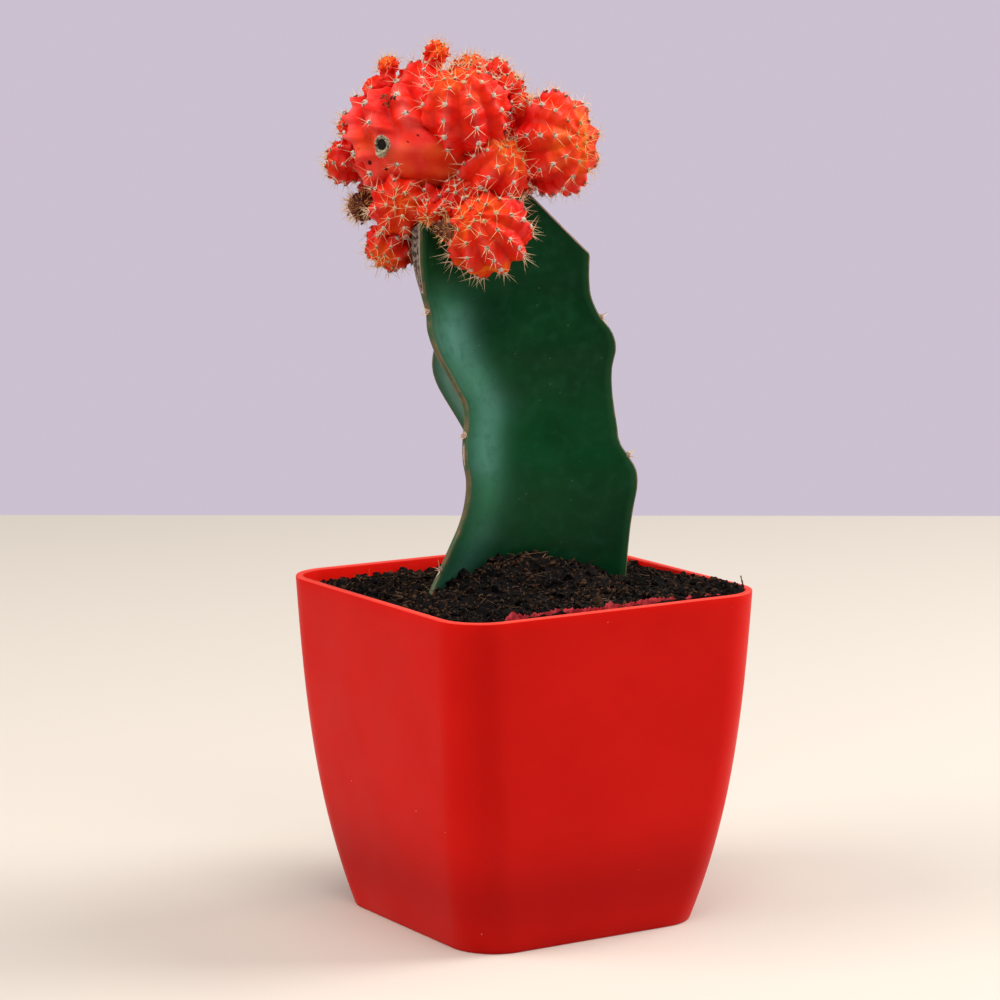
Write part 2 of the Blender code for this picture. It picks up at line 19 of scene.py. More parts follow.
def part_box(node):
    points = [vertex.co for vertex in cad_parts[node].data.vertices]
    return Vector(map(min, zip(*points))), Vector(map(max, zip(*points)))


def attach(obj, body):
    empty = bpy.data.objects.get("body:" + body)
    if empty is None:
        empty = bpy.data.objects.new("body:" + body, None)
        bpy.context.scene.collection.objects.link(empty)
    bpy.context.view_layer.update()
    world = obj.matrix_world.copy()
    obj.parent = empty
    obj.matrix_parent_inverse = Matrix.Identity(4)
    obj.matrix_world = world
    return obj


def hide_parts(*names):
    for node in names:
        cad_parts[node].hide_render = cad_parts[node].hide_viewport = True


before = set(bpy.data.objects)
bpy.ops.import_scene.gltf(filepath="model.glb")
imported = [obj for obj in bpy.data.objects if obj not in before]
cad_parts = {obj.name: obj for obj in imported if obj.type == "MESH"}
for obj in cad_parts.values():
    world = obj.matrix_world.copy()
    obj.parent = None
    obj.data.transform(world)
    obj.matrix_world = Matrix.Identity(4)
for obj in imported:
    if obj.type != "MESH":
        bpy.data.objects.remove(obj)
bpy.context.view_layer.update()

MM = 0.001
PLANT_TURN = math.radians(-32.5)  # the plant's broad face looks towards one corner of the pot
ACROSS = np.array((math.cos(PLANT_TURN), math.sin(PLANT_TURN), 0.0))
BACK = np.array((-math.sin(PLANT_TURN), math.cos(PLANT_TURN), 0.0))
POT_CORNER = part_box("pot")[1]
POT_HEIGHT = POT_CORNER.z / MM
RIM_HALF = POT_CORNER.x / MM
print(f"The pot is {POT_HEIGHT:.1f} mm tall and {2 * RIM_HALF:.0f} mm square at its rim.")

# %% [markdown]
# ## The helpers
# Most pieces here are natural, and nature doesn't model by hand. So each piece starts as a
# primitive, gets the edges it needs from edit-mode operators, and is then shaped by a rule
# that moves all its points at once. These helpers read and write the points, keep a value
# per point for the materials, and apply modifiers.

# %% Points in and out of a mesh
def points_of(piece):
    """The points of a piece as rows of x, y, z in metres."""
    points = np.empty(len(piece.data.vertices) * 3)
    piece.data.vertices.foreach_get("co", points)
    return points.reshape(-1, 3)


def move_points(piece, points):
    """Put the points of a piece where the rows say."""
    piece.data.vertices.foreach_set("co", np.ascontiguousarray(points, dtype=np.float32).ravel())
    piece.data.update()


def keep_value(piece, name, values):
    """Store one number per point, which a material can read by its name."""
    attribute = piece.data.attributes.new(name, "FLOAT", "POINT")
    attribute.data.foreach_set("value", np.asarray(values, dtype=np.float32))


# %% Selecting and adding
def select_only(piece=None):
    """Leave edit mode, and select one piece or nothing."""
    if bpy.context.object and bpy.context.object.mode != "OBJECT":
        bpy.ops.object.mode_set(mode="OBJECT")
    bpy.ops.object.select_all(action="DESELECT")
    if piece:
        piece.select_set(True)
        bpy.context.view_layer.objects.active = piece


def add(primitive, **settings):
    """Add a primitive with nothing else selected, and give it back."""
    select_only()
    primitive(**settings)
    return bpy.context.object


def edit(piece):
    """Enter edit mode on one piece, with nothing selected."""
    select_only(piece)
    bpy.ops.object.mode_set(mode="EDIT")
    bpy.ops.mesh.select_all(action="DESELECT")


def select_parts(piece, parts, test):
    """In edit mode, select the faces or the edges that pass a test."""
    bpy.context.tool_settings.mesh_select_mode = (False, parts == "edges", parts == "faces")
    bm = bmesh.from_edit_mesh(piece.data)
    for part in getattr(bm, parts):
        part.select_set(test(part))
    bm.select_flush_mode()
    bmesh.update_edit_mesh(piece.data)


def upright(edge):
    """Whether an edge climbs by more than a millimetre."""
    return abs(edge.verts[0].co.z - edge.verts[1].co.z) > MM


def cut_into_rings(rod, cuts):
    """Divide the long edges of an upright rod, so that it can be shaped; then its points."""
    edit(rod)
    select_parts(rod, "edges", upright)
    bpy.ops.mesh.subdivide(number_cuts=cuts)
    bpy.ops.object.mode_set(mode="OBJECT")
    return points_of(rod)


# %% Finishing a piece
def apply(piece, kind, **settings):
    """Add a modifier, set it and apply it."""
    modifier = piece.modifiers.new(kind.lower(), kind)
    for name, value in settings.items():
        setattr(modifier, name, value)
    select_only(piece)
    bpy.ops.object.modifier_apply(modifier=modifier.name)


def smooth_shading(piece, angle):
    """Smooth faces, but keep edges sharper than the angle crisp."""
    select_only(piece)
    bpy.ops.object.shade_smooth_by_angle(angle=math.radians(angle))


def settle(piece, name, angle=None):
    """Name a piece and put its place into its mesh, so that its object sits at the origin."""
    select_only(piece)
    bpy.ops.object.transform_apply(location=True, rotation=True, scale=True)
    piece.name = name
    piece.data.name = name
    if angle:
        smooth_shading(piece, angle)
    return piece


def shape(piece, points, name, angle=None, **values):
    """Put a piece's points, in millimetres, where the rows say; keep its values; settle it."""
    move_points(piece, points * MM)
    for label, numbers in values.items():
        keep_value(piece, label, numbers)
    return settle(piece, name, angle)


def hand_over(piece, material, node=None):
    """Give a finished piece its material and its place in the frame."""
    piece.data.materials.append(material)
    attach(piece, "root")
    if node:
        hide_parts(node)
    piece.data.calc_loop_triangles()
    print(f"{piece.name}: {len(piece.data.loop_triangles)} triangles")


# %% Many copies of a small shape in one mesh
def template(piece):
    """The points and faces of a small piece, which is then removed."""
    copied = points_of(piece), [tuple(face.vertices) for face in piece.data.polygons]
    bpy.data.objects.remove(piece, do_unlink=True)
    return copied


def rough_balls(draw, count, rough, squash, subdivisions=1):
    """Small uneven balls, each squashed by a number or a drawn one along x, y and z."""
    shapes = []
    for _ in range(count):
        ball = add(bpy.ops.mesh.primitive_ico_sphere_add, subdivisions=subdivisions, radius=1.0)
        points = points_of(ball)
        points *= np.array([[draw.uniform(*rough)] for _ in points])
        points *= np.array([draw.uniform(*side) if isinstance(side, tuple) else side for side in squash])
        move_points(ball, points)
        shapes.append(template(ball))
    return shapes


def scatter(name, label, copies, angle=None):
    """One mesh from a (shape, 4x4 matrix in metres, value) per copy; the value gets a label."""
    all_points, all_faces, values = [], [], []
    for (points, faces), place, value in copies:
        matrix, offset = np.array(place), len(values)
        all_points.append(points @ matrix[:3, :3].T + matrix[:3, 3])
        all_faces += [tuple(index + offset for index in face) for face in faces]
        values += [value] * len(points)
    mesh = bpy.data.meshes.new(name)
    mesh.from_pydata(np.concatenate(all_points).tolist(), [], all_faces)
    piece = bpy.data.objects.new(name, mesh)
    bpy.context.scene.collection.objects.link(piece)
    keep_value(piece, label, values)
    if angle:
        smooth_shading(piece, angle)
    return piece


# %% Places, turns and curves
def plant_point(across, back, up):
    """A place on the plant, in millimetres in its own directions, in the pot's frame."""
    return Matrix.Rotation(PLANT_TURN, 4, "Z") @ Vector((across, back, up))


def plant_direction(turn, rise):
    """A direction on the plant, from two angles in degrees."""
    turn, rise = math.radians(turn), math.radians(rise)
    return plant_point(math.cos(rise) * math.cos(turn), math.cos(rise) * math.sin(turn), math.sin(rise))


def placed(place, turn, size):
    """The matrix of a copy: its place in millimetres, its turn, and its size along x, y and z."""
    return Matrix.Translation(place * MM) @ turn @ Matrix.Diagonal((*(side * MM for side in size), 1.0))


def facing(outward, down):
    """A turn that sets Z along outward and X along down."""
    return Matrix((down, outward.cross(down), outward)).transposed().to_4x4()


def thin_rod(place, direction, length, thick, draw):
    """The matrix of a fibre or spine that stands in a direction, with its own bend turned anyhow."""
    turn = direction.to_track_quat("Z", "X").to_matrix().to_4x4()
    return placed(place, turn @ Matrix.Rotation(draw.uniform(0, math.tau), 4, "Z"), (thick, thick, length))


def hermite(t, start, end, slope, end_slope):
    """A curve from one value to another as t goes from 0 to 1, with a slope at each end."""
    return ((2 * t**3 - 3 * t**2 + 1) * start + (t**3 - 2 * t**2 + t) * slope
            + (3 * t**2 - 2 * t**3) * end + (t**3 - t**2) * end_slope)


def smooth_curve(points, x):
    """Read a smooth curve through (x, y) points at many places, level past both ends."""
    xs, ys = np.array(points, dtype=float).T
    slopes = np.empty_like(ys)
    slopes[1:-1] = (ys[2:] - ys[:-2]) / (xs[2:] - xs[:-2])
    slopes[0] = (ys[1] - ys[0]) / (xs[1] - xs[0])
    slopes[-1] = (ys[-1] - ys[-2]) / (xs[-1] - xs[-2])
    x = np.clip(x, xs[0], xs[-1])
    i = np.clip(np.searchsorted(xs, x, side="right") - 1, 0, len(xs) - 2)
    span = xs[i + 1] - xs[i]
    return hermite((x - xs[i]) / span, ys[i], ys[i + 1], span * slopes[i], span * slopes[i + 1])


def smooth_step(x, low, high):
    """0 below low, 1 above high, and a soft step between; low may also be the larger."""
    return hermite(np.clip((x - low) / (high - low), 0, 1), 0, 1, 0, 0)


def bell(x, middle, spread):
    """1 at the middle, falling to 0 on both sides of it."""
    return np.exp(-(((x - middle) / spread) ** 2))


def noise_at(points, per_unit=1.0):
    """Smooth noise at each row of points."""
    return np.array([noise.noise(Vector(point) * per_unit) for point in points])


# %% [markdown]
# ## Materials and shared effects
# A material is a tree of nodes, and wiring it by hand takes many lines. A small language
# makes each step one call. Two node groups serve several materials: "specks" scatters small
# round spots, such as dust or pores, and "mottle" is a soft uneven cloud, which keeps a large
# surface from looking painted.

# %% A small language for node trees
class Wiring:
    """Short calls that add nodes to a tree and join them."""

    def __init__(self, tree, material=None):
        self.tree = tree
        self.material = material

    def feed(self, socket, source):
        """Give a socket a number, a colour or vector, or another node's output."""
        if isinstance(source, (int, float)):
            socket.default_value = source
        elif isinstance(source, tuple):
            socket.default_value = (*source, 1.0)[:len(socket.default_value)]
        else:
            self.tree.links.new(source, socket)

    def node(self, kind, inputs, **settings):
        """The outputs of a new node, after its settings are made and its inputs fed."""
        made = self.tree.nodes.new("ShaderNode" + kind)
        for name, value in settings.items():
            setattr(made, name, value)
        for name, source in inputs.items():
            self.feed(made.inputs[name], source)
        return made.outputs

    def group(self, shared, **values):
        inputs = {name.replace("_", " "): value for name, value in values.items()}
        return self.node("Group", inputs, node_tree=shared)[0]

    def value(self, name):
        return self.node("Attribute", {}, attribute_name=name)["Fac"]

    def place(self):
        return self.node("TexCoord", {})["Object"]

    def noise(self, per_metre, detail=3.0, stretch=None):
        place = self.place()
        if stretch:
            place = self.node("Mapping", {"Vector": place, "Scale": stretch})["Vector"]
        return self.node("TexNoise", {"Vector": place, "Scale": per_metre, "Detail": detail})["Fac"]

    def range(self, source, low, high, to_low=0.0, to_high=1.0):
        inputs = {"Value": source, "From Min": low, "From Max": high, "To Min": to_low, "To Max": to_high}
        return self.node("MapRange", inputs, interpolation_type="SMOOTHSTEP")["Result"]

    def patches(self, per_metre, detail, low, high, to_low=0.0, to_high=1.0, stretch=None):
        """Soft patches of noise, as a value that rises where the noise goes from low to high."""
        return self.range(self.noise(per_metre, detail, stretch), low, high, to_low, to_high)

    def times(self, first, second, operation="MULTIPLY"):
        return self.node("Math", {0: first, 1: second}, operation=operation, use_clamp=True)[0]

    def mix(self, share, first, second):
        """Colours, or links to colours, mixed by a share."""
        return self.node("Mix", {0: share, 6: first, 7: second}, data_type="RGBA")[2]

    def layers(self, color, *over):
        """A colour with others laid over it, each given as its share and itself."""
        for share, tint in over:
            color = self.mix(share, color, tint)
        return color

    def bump(self, height, distance, strength=1.0, **under):
        inputs = {"Height": height, "Distance": distance, "Strength": strength, **under}
        return self.node("Bump", inputs)["Normal"]

    def finish(self, **sources):
        """Feed the sockets of the material's own shader, by name, and give the material."""
        for name, source in sources.items():
            self.feed(self.tree.nodes["Principled BSDF"].inputs[name.replace("_", " ")], source)
        return self.material


def new_material(name, **settings):
    """The wiring of a new material, whose plain values are set on its shader."""
    material = bpy.data.materials.new(name)
    material.use_nodes = True
    wire = Wiring(material.node_tree, material)
    wire.finish(**settings)
    return wire


# %% The node groups
def new_group(name, inputs, output):
    """An empty shader node group of floats: its wiring, its inputs and its output."""
    tree = bpy.data.node_groups.new(name, "ShaderNodeTree")
    for label, value in inputs.items():
        socket = tree.interface.new_socket(label, in_out="INPUT", socket_type="NodeSocketFloat")
        socket.default_value = value
    tree.interface.new_socket(output, in_out="OUTPUT", socket_type="NodeSocketFloat")
    start = tree.nodes.new("NodeGroupInput")
    end = tree.nodes.new("NodeGroupOutput")
    return Wiring(tree), start.outputs, end.inputs[output]


def make_specks():
    wire, given, mask = new_group("specks", {"Per Metre": 400.0, "Size": 0.2, "Share": 0.5}, "Mask")
    cells = wire.node("TexVoronoi", {"Vector": wire.place(), "Scale": given["Per Metre"]}, feature="F1")
    red = wire.node("SeparateColor", {"Color": cells["Color"]})["Red"]
    chosen = wire.times(red, given["Share"], "LESS_THAN")
    inside = wire.times(cells["Distance"], given["Size"], "LESS_THAN")
    wire.feed(mask, wire.times(chosen, inside))
    return wire.tree


def make_mottle():
    wire, given, value = new_group("mottle", {"Per Metre": 60.0, "Low": 0.35, "High": 0.65}, "Value")
    inputs = {"Vector": wire.place(), "Scale": given["Per Metre"], "Detail": 4.0, "Roughness": 0.6}
    cloud = wire.node("TexNoise", inputs)["Fac"]
    wire.feed(value, wire.range(cloud, given["Low"], given["High"]))
    return wire.tree


SPECKS = make_specks()
MOTTLE = make_mottle()

# %% [markdown]
# ## The camera, the table and the light
# The camera stands a little above the pot's rim and looks slightly down, through a long lens
# that keeps the sides of the pot nearly parallel. The table is a plain pale square. Large
# soft lights above on both sides and in front do most of the work, a small low one lights
# the right of the plant, and the pale surroundings fill the shade.

# %% The camera
CAMERA_AT = (-0.40908, -0.64299, 0.20654)
CAMERA_BACK = (-0.52545, -0.83682, 0.15370)
camera = bpy.data.objects.new("camera", bpy.data.cameras.new("camera"))
bpy.context.scene.collection.objects.link(camera)
camera.data.lens = 132.74
camera.data.sensor_width = 36.0
camera.location = CAMERA_AT
camera.rotation_mode = "QUATERNION"
camera.rotation_quaternion = (-Vector(CAMERA_BACK)).to_track_quat("-Z", "Y")
bpy.context.scene.camera = camera

# %% The table
TABLE_SIDE = 1.06  # metres
table = add(bpy.ops.mesh.primitive_plane_add, size=TABLE_SIDE, rotation=(0, 0, PLANT_TURN))
table.name = "table"
pale = new_material("pale table", Base_Color=(0.66, 0.60, 0.52), Roughness=0.6)
table.data.materials.append(pale.material)


# %% The lights
def softbox(name, place, size, power, color):
    """A square area light that looks at the middle of the plant."""
    light = bpy.data.lights.new(name, "AREA")
    light.shape = "SQUARE"
    light.size = size
    light.energy = power
    light.color = color
    lamp = bpy.data.objects.new(name, light)
    bpy.context.scene.collection.objects.link(lamp)
    lamp.location = place
    lamp.rotation_mode = "QUATERNION"
    lamp.rotation_quaternion = (Vector((0, 0, 0.1)) - Vector(place)).to_track_quat("-Z", "Y")


softbox("right window", 0.95 * ACROSS + 0.25 * BACK + (0, 0, 0.95), 0.8, 14.0, (1.0, 0.99, 0.96))
softbox("left window", -0.95 * ACROSS - 0.3 * BACK + (0, 0, 0.95), 0.8, 12.3, (1.0, 0.98, 0.95))
softbox("sky light", 0.1 * ACROSS - 0.5 * BACK + (0, 0, 1.3), 0.8, 10.4, (1.0, 0.99, 0.98))
softbox("low card", 0.7 * ACROSS + 0.08 * BACK + (0, 0, 0.42), 0.35, 1.9, (0.93, 0.97, 1.0))
bpy.context.scene.view_settings.view_transform = "Standard"

# %% The room, which lights the plant less than it shows behind it
world = bpy.data.worlds.new("pale room")
world.use_nodes = True
wire = Wiring(world.node_tree)
room = world.node_tree.nodes["Background"]
wire.feed(room.inputs["Color"], (0.63, 0.57, 0.65))
wire.feed(room.inputs["Strength"], 0.3)
wall = wire.node("Background", {"Color": (0.60, 0.53, 0.63)})[0]
seen = wire.node("LightPath", {})["Is Camera Ray"]
either = wire.node("MixShader", {0: seen, 1: room.outputs[0], 2: wall})[0]
wire.feed(world.node_tree.nodes["World Output"].inputs["Surface"], either)
bpy.context.scene.world = world


# %% [markdown]
# ## The pot
# A thin injection-moulded nursery pot: square, with rounded upright corners, walls that flare
# quickly at the foot and stand nearly upright at the rim, and five drain holes in a raised
# base. It could be lofted ring by ring. It is modelled here as a mould maker thinks of it:
# a block with rounded corners, hollowed from above, cut into levels, and then drawn in level
# by level along the flare.

# %% The flare of the walls
BASE_HALF = 28.5
CORNER_RADIUS = 10.0
WALL = 1.6
FLOOR_TOP = 3.2
FOOT_WIDTH = 3.2
FOOT_RECESS = 1.2
FLARE_AT_BASE = 19.6  # sideways travel per pot height, where the wall leaves the base
FLARE_AT_RIM = 3.4
WALL_LEVELS = 22


def pot_half(height):
    """Half of the pot's outer side at a height."""
    return hermite(np.clip(height / POT_HEIGHT, 0.0, 1.0), BASE_HALF, RIM_HALF, FLARE_AT_BASE, FLARE_AT_RIM)


# %% The block, its corners, its hollow and its foot
def round_block():
    pot = add(bpy.ops.mesh.primitive_cube_add, size=1, location=(0, 0, POT_HEIGHT / 2 * MM))
    pot.scale = (2 * RIM_HALF * MM, 2 * RIM_HALF * MM, POT_HEIGHT * MM)
    settle(pot, "pot_shell")
    edit(pot)
    select_parts(pot, "edges", upright)
    bpy.ops.mesh.bevel(offset=CORNER_RADIUS * MM, segments=14, affect="EDGES")
    return pot


def hollow(pot):
    """Press in the top, down to the floor, and then the underside, inside the foot."""
    for side, border, travel in ((1, WALL, FLOOR_TOP - POT_HEIGHT), (-1, FOOT_WIDTH, FOOT_RECESS)):
        bpy.ops.mesh.select_all(action="DESELECT")
        select_parts(pot, "faces", lambda face: face.normal.z * side > 0.9)
        bpy.ops.mesh.inset(thickness=border * MM)
        bpy.ops.mesh.extrude_region_move(TRANSFORM_OT_translate={"value": (0, 0, travel * MM)})


def cut_levels(pot):
    for level in range(1, WALL_LEVELS):
        height = POT_HEIGHT * level / WALL_LEVELS
        bpy.ops.mesh.select_all(action="SELECT")
        bpy.ops.mesh.bisect(plane_co=(0, 0, height * MM), plane_no=(0, 0, 1))
    bpy.ops.object.mode_set(mode="OBJECT")


pot = round_block()
hollow(pot)
cut_levels(pot)
print(f"The block has {len(pot.data.vertices)} points.")


# %% Draw the walls in along the flare
def flare(pot):
    points = points_of(pot) / MM
    draw_in = RIM_HALF - pot_half(points[:, 2])
    wall_from = RIM_HALF - CORNER_RADIUS - 0.01 - WALL - FOOT_WIDTH
    for axis in (0, 1):
        in_wall = np.abs(points[:, axis]) >= wall_from
        points[:, axis] -= np.where(in_wall, np.sign(points[:, axis]) * draw_in, 0.0)
    move_points(pot, points * MM)


flare(pot)
apply(pot, "BEVEL", width=0.3 * MM, segments=3, limit_method="ANGLE", angle_limit=math.radians(50))

# %% The drain holes
DRAIN_RADIUS = 1.9
DRAIN_OFFSET = 13.0
for x, y in ((0, 0), (1, 0), (0, 1), (-1, 0), (0, -1)):
    drill = add(bpy.ops.mesh.primitive_cylinder_add, vertices=32, radius=DRAIN_RADIUS * MM, depth=20 * MM,
                location=(x * DRAIN_OFFSET * MM, y * DRAIN_OFFSET * MM, 0))
    settle(drill, "drill")
    apply(pot, "BOOLEAN", object=drill, operation="DIFFERENCE", solver="EXACT")
    bpy.data.objects.remove(drill, do_unlink=True)
smooth_shading(pot, 35)


# %% Mark the inside, the lip and a band near the foot, for painted light and painted shade
LIP_HEIGHT = 0.2
SHADE_BAND_AT = 11.0
SHADE_BAND_SPREAD = 9.0


def mark_walls(pot):
    points = points_of(pot) / MM
    up = points[:, 2]
    half = pot_half(up)
    sideways = np.abs(points[:, :2])
    corner = np.hypot(*(np.maximum(sideways - (half - CORNER_RADIUS)[:, None], 0)).T)
    depth = np.minimum(half - np.max(sideways, axis=1), CORNER_RADIUS - corner)
    # painted glow: the inside walls, as if lit through the thin plastic
    keep_value(pot, "inner_glow", (depth > WALL * 0.7) & (up > FLOOR_TOP))
    # painted highlight: a paler line along the lip
    keep_value(pot, "lip_highlight", up > POT_HEIGHT - LIP_HEIGHT)
    # painted shade: a darker band near the foot
    keep_value(pot, "shade", 0.5 * bell(up, SHADE_BAND_AT, SHADE_BAND_SPREAD))


mark_walls(pot)

# %% [markdown]
# The plastic is a bright red polypropylene with a satin skin, which scatters light a little
# inside. The paler lip is a painted highlight, the brighter inside walls are painted glow, and
# a darker band near the foot is painted shade. A fine moulded grain and a few dust specks are
# all that breaks the surface.

# %% The red plastic
def red_plastic():
    wire = new_material("red plastic", Specular_IOR_Level=0.06, Subsurface_Weight=0.3,
                        Subsurface_Radius=(1.0, 0.08, 0.05), Subsurface_Scale=0.003)
    cloud = wire.group(MOTTLE, Per_Metre=35.0, Low=0.3, High=0.75)
    color = wire.mix(cloud, (0.57, 0.004, 0.0015), (0.62, 0.006, 0.003))
    # painted shade: darker in a band near the foot
    color = wire.mix(wire.value("shade"), color, (0.30, 0.001, 0.001))
    # painted glow: the inside walls brighter
    color = wire.mix(wire.value("inner_glow"), color, (0.95, 0.010, 0.004))
    # painted highlight: a paler pink lip
    color = wire.mix(wire.value("lip_highlight"), color, (0.82, 0.060, 0.040))
    dust = wire.group(SPECKS, Per_Metre=260.0, Size=0.045, Share=0.22)
    return wire.finish(Base_Color=wire.mix(dust, color, (0.82, 0.25, 0.2)),
                       Roughness=wire.patches(90.0, 3.0, 0.3, 0.7, 0.36, 0.46),
                       Normal=wire.bump(wire.noise(2600.0, 2.0), 0.00004, 0.25))


hand_over(pot, red_plastic(), "pot")

# %% [markdown]
# ## The potting mix
# The mix is peat and coir: near-black crumbs with a few tan fibres. Its surface is not flat.
# It is heaped in front of the stem, and clods lie along the wall. A fine grid, rounded at
# its corners, takes that relief from noise at three scales. Loose crumbs and fibres are
# modelled once and scattered over it.

# %% The height of the mix
SOIL_LEVEL = 69.3
SOIL_TILT = 0.025  # the surface falls towards the back left
MOUND_HEIGHT = 8.4
MOUND_AT = (0.2, -9.0)  # across, back
MOUND_SPREAD = (13.5, 8.2)
SOIL_GAP = WALL + 0.15  # from the pot's outside to the mix
SOIL_HALF = RIM_HALF - SOIL_GAP
SOIL_CORNER = CORNER_RADIUS - SOIL_GAP
RELIEF = ((0.9, 0.13, 20.0), (1.1, 0.42, 5.0), (0.7, 0.95, 9.0))  # height, how close, seed


def soil_height(x, y):
    """Height of the mix over a place in the pot, all in millimetres."""
    across = x * ACROSS[0] + y * ACROSS[1]
    back = x * BACK[0] + y * BACK[1]
    mound = MOUND_HEIGHT * np.exp(-0.5 * (((across - MOUND_AT[0]) / MOUND_SPREAD[0]) ** 2
                                          + ((back - MOUND_AT[1]) / MOUND_SPREAD[1]) ** 2))
    clods, crumbs, grit = (
        height * np.array([noise.noise((a * close, b * close, seed)) for a, b in zip(x, y)])
        for height, close, seed in RELIEF)
    return SOIL_LEVEL + SOIL_TILT * (across - back) + mound + clods + (crumbs + np.abs(grit))


# %% The bed of mix
def round_square(x, y, half, corner):
    """Turn points of the square from -1 to 1 into a square with rounded corners."""
    share = np.maximum(np.maximum(np.abs(x), np.abs(y)), 1e-9)
    side = np.minimum(np.abs(x), np.abs(y)) / share
    straight = 1.0 - corner / half
    turn = np.clip((side - straight) / (1.0 - straight), 0.0, 1.0) * math.pi / 4
    far = np.where(side > straight, half - corner + corner * np.cos(turn), half)
    near = np.where(side > straight, half - corner + corner * np.sin(turn), side * half)
    wide = np.abs(x) >= np.abs(y)
    return (np.sign(x) * share * np.where(wide, far, near), np.sign(y) * share * np.where(wide, near, far))


SOIL_CELLS = 190
SIDE_DEPTH = 18  # how far the bed's sides reach down
SIDE_DROP = 20  # enough to tell the lower rim of the sides from the surface
RIM_CLEARANCE = 1.2  # no more than this above the rim, at the edge


def model_bed():
    soil = add(bpy.ops.mesh.primitive_grid_add, x_subdivisions=SOIL_CELLS, y_subdivisions=SOIL_CELLS,
               size=2.0)
    flat = points_of(soil)
    x, y = round_square(flat[:, 0], flat[:, 1], SOIL_HALF, SOIL_CORNER)
    inwards = 1 - np.maximum(*np.abs(flat[:, :2].T))
    top = np.minimum(soil_height(x, y), POT_HEIGHT + RIM_CLEARANCE + 40.0 * inwards)
    move_points(soil, np.column_stack((x, y, top)) * MM)
    edit(soil)
    bpy.ops.mesh.select_all(action="SELECT")
    bpy.ops.mesh.region_to_loop()
    bpy.ops.mesh.extrude_edges_move(TRANSFORM_OT_translate={"value": (0, 0, -SIDE_DROP * MM)})
    bpy.ops.mesh.edge_face_add()
    bpy.ops.object.mode_set(mode="OBJECT")
    points = points_of(soil) / MM
    low = points[:, 2] < SOIL_LEVEL - SIDE_DROP / 2
    points[low, 2] = SOIL_LEVEL - SIDE_DEPTH
    points[low, :2] *= (pot_half(SOIL_LEVEL - SIDE_DEPTH) - SOIL_GAP) / SOIL_HALF
    return shape(soil, points, "mix_bed", 40)


soil = model_bed()


# %% Crumbs and clods
STEM_CLEAR = 6.0  # no crumb lies this near to the rootstock's axis
STEM_LEFT = 2.8  # and that axis stands so far left of the pot's middle
# how many, smallest and largest in millimetres, darkest and lightest tone
CRUMBS = (6200, (0.22, 0.75), (0.0, 1.0))
CLODS = (420, (0.7, 1.9), (0.0, 0.6))


def stem_here(x, y):
    """Whether a place lies under the rootstock's middle, where no crumb can lie."""
    across = x * ACROSS[0] + y * ACROSS[1] + STEM_LEFT
    return math.hypot(across, x * BACK[0] + y * BACK[1]) < STEM_CLEAR


def any_direction(draw):
    return Vector((draw.gauss(0, 1), draw.gauss(0, 1), draw.gauss(0, 1))).normalized()


def crumb_places(draw, count, sizes, tones):
    """Random places on the mix, each with a size in millimetres and a tone."""
    reach = SOIL_HALF - sizes[1] * 0.9
    x = np.array([draw.uniform(-reach, reach) for _ in range(count)])
    y = np.array([draw.uniform(-reach, reach) for _ in range(count)])
    beyond = np.hypot(*(np.maximum(np.abs(side) - reach + SOIL_CORNER, 0) for side in (x, y)))
    places = []
    for a, b, c, over in zip(x, y, soil_height(x, y), beyond):
        if over > SOIL_CORNER or stem_here(a, b):
            continue
        size = sizes[0] + (sizes[1] - sizes[0]) * draw.random() ** 2.2
        turn = Matrix.Rotation(draw.uniform(0, math.tau), 4, any_direction(draw))
        places.append((placed(Vector((a, b, c + size * 0.2)), turn, [size] * 3), draw.uniform(*tones)))
    return places


draw = random.Random(21)
shapes = rough_balls(draw, 7, (0.65, 1.25), (1.0, (0.6, 0.9), (0.5, 0.8)))
places = crumb_places(draw, *CRUMBS) + crumb_places(draw, *CLODS)
crumbs = scatter("mix_crumbs", "tone", [(draw.choice(shapes), *place) for place in places], 30)


# %% Fibres of coir
def bent_fibre(bow):
    """A thin tapering strand along Z, one unit long, bowed sideways."""
    strand = add(bpy.ops.mesh.primitive_cylinder_add, vertices=4, radius=0.5, depth=1.0)
    points = cut_into_rings(strand, 5)
    points[:, 2] += 0.5
    along = points[:, 2]
    points[:, :2] *= (1.0 - 0.55 * along)[:, None]
    points[:, 0] += bow * 40 * along * (1 - along)
    move_points(strand, points)
    return template(strand)


FIBRES = 330
FIBRE_LENGTHS = (1.4, 5.5)
FIBRE_THICK = (0.07, 0.16)
FIBRE_LIFT = 0.35  # off the mix, so that it lies on the crumbs
FIBRE_REACH = 33.0  # from the pot's middle, sideways
FIBRE_CORNER_AT = 25.0
FIBRE_CORNER = 7.0
FIBRE_TURNS = ((0, math.tau, "Z"), (1.1, 1.62, "Y"), (0, math.tau, "Z"))


def fibre_places(draw, count):
    places = []
    for _ in range(count):
        x, y = (draw.uniform(-FIBRE_REACH, FIBRE_REACH) for _ in range(2))
        beyond = math.hypot(*(max(abs(side) - FIBRE_CORNER_AT, 0) for side in (x, y)))
        if beyond > FIBRE_CORNER or stem_here(x, y):
            continue
        z = float(soil_height(np.array([x]), np.array([y]))[0]) + FIBRE_LIFT
        length, thick = draw.uniform(*FIBRE_LENGTHS), draw.uniform(*FIBRE_THICK)
        around, lean, spin = (Matrix.Rotation(draw.uniform(low, high), 4, axis)
                              for low, high, axis in FIBRE_TURNS)
        place = placed(Vector((x, y, z)), around @ lean @ spin, (thick, thick, length))
        places.append((place, draw.random()))
    return places


strands = [bent_fibre(bow) for bow in (0.0, 0.12, 0.25)]
places = fibre_places(draw, FIBRES)
fibres = scatter("mix_fibres", "tone", [(draw.choice(strands), *place) for place in places])

# %% [markdown]
# Peat is almost black where it is damp and brown where its crumbs have dried. Each crumb has
# its own tone, so the surface sparkles a little without any pattern.

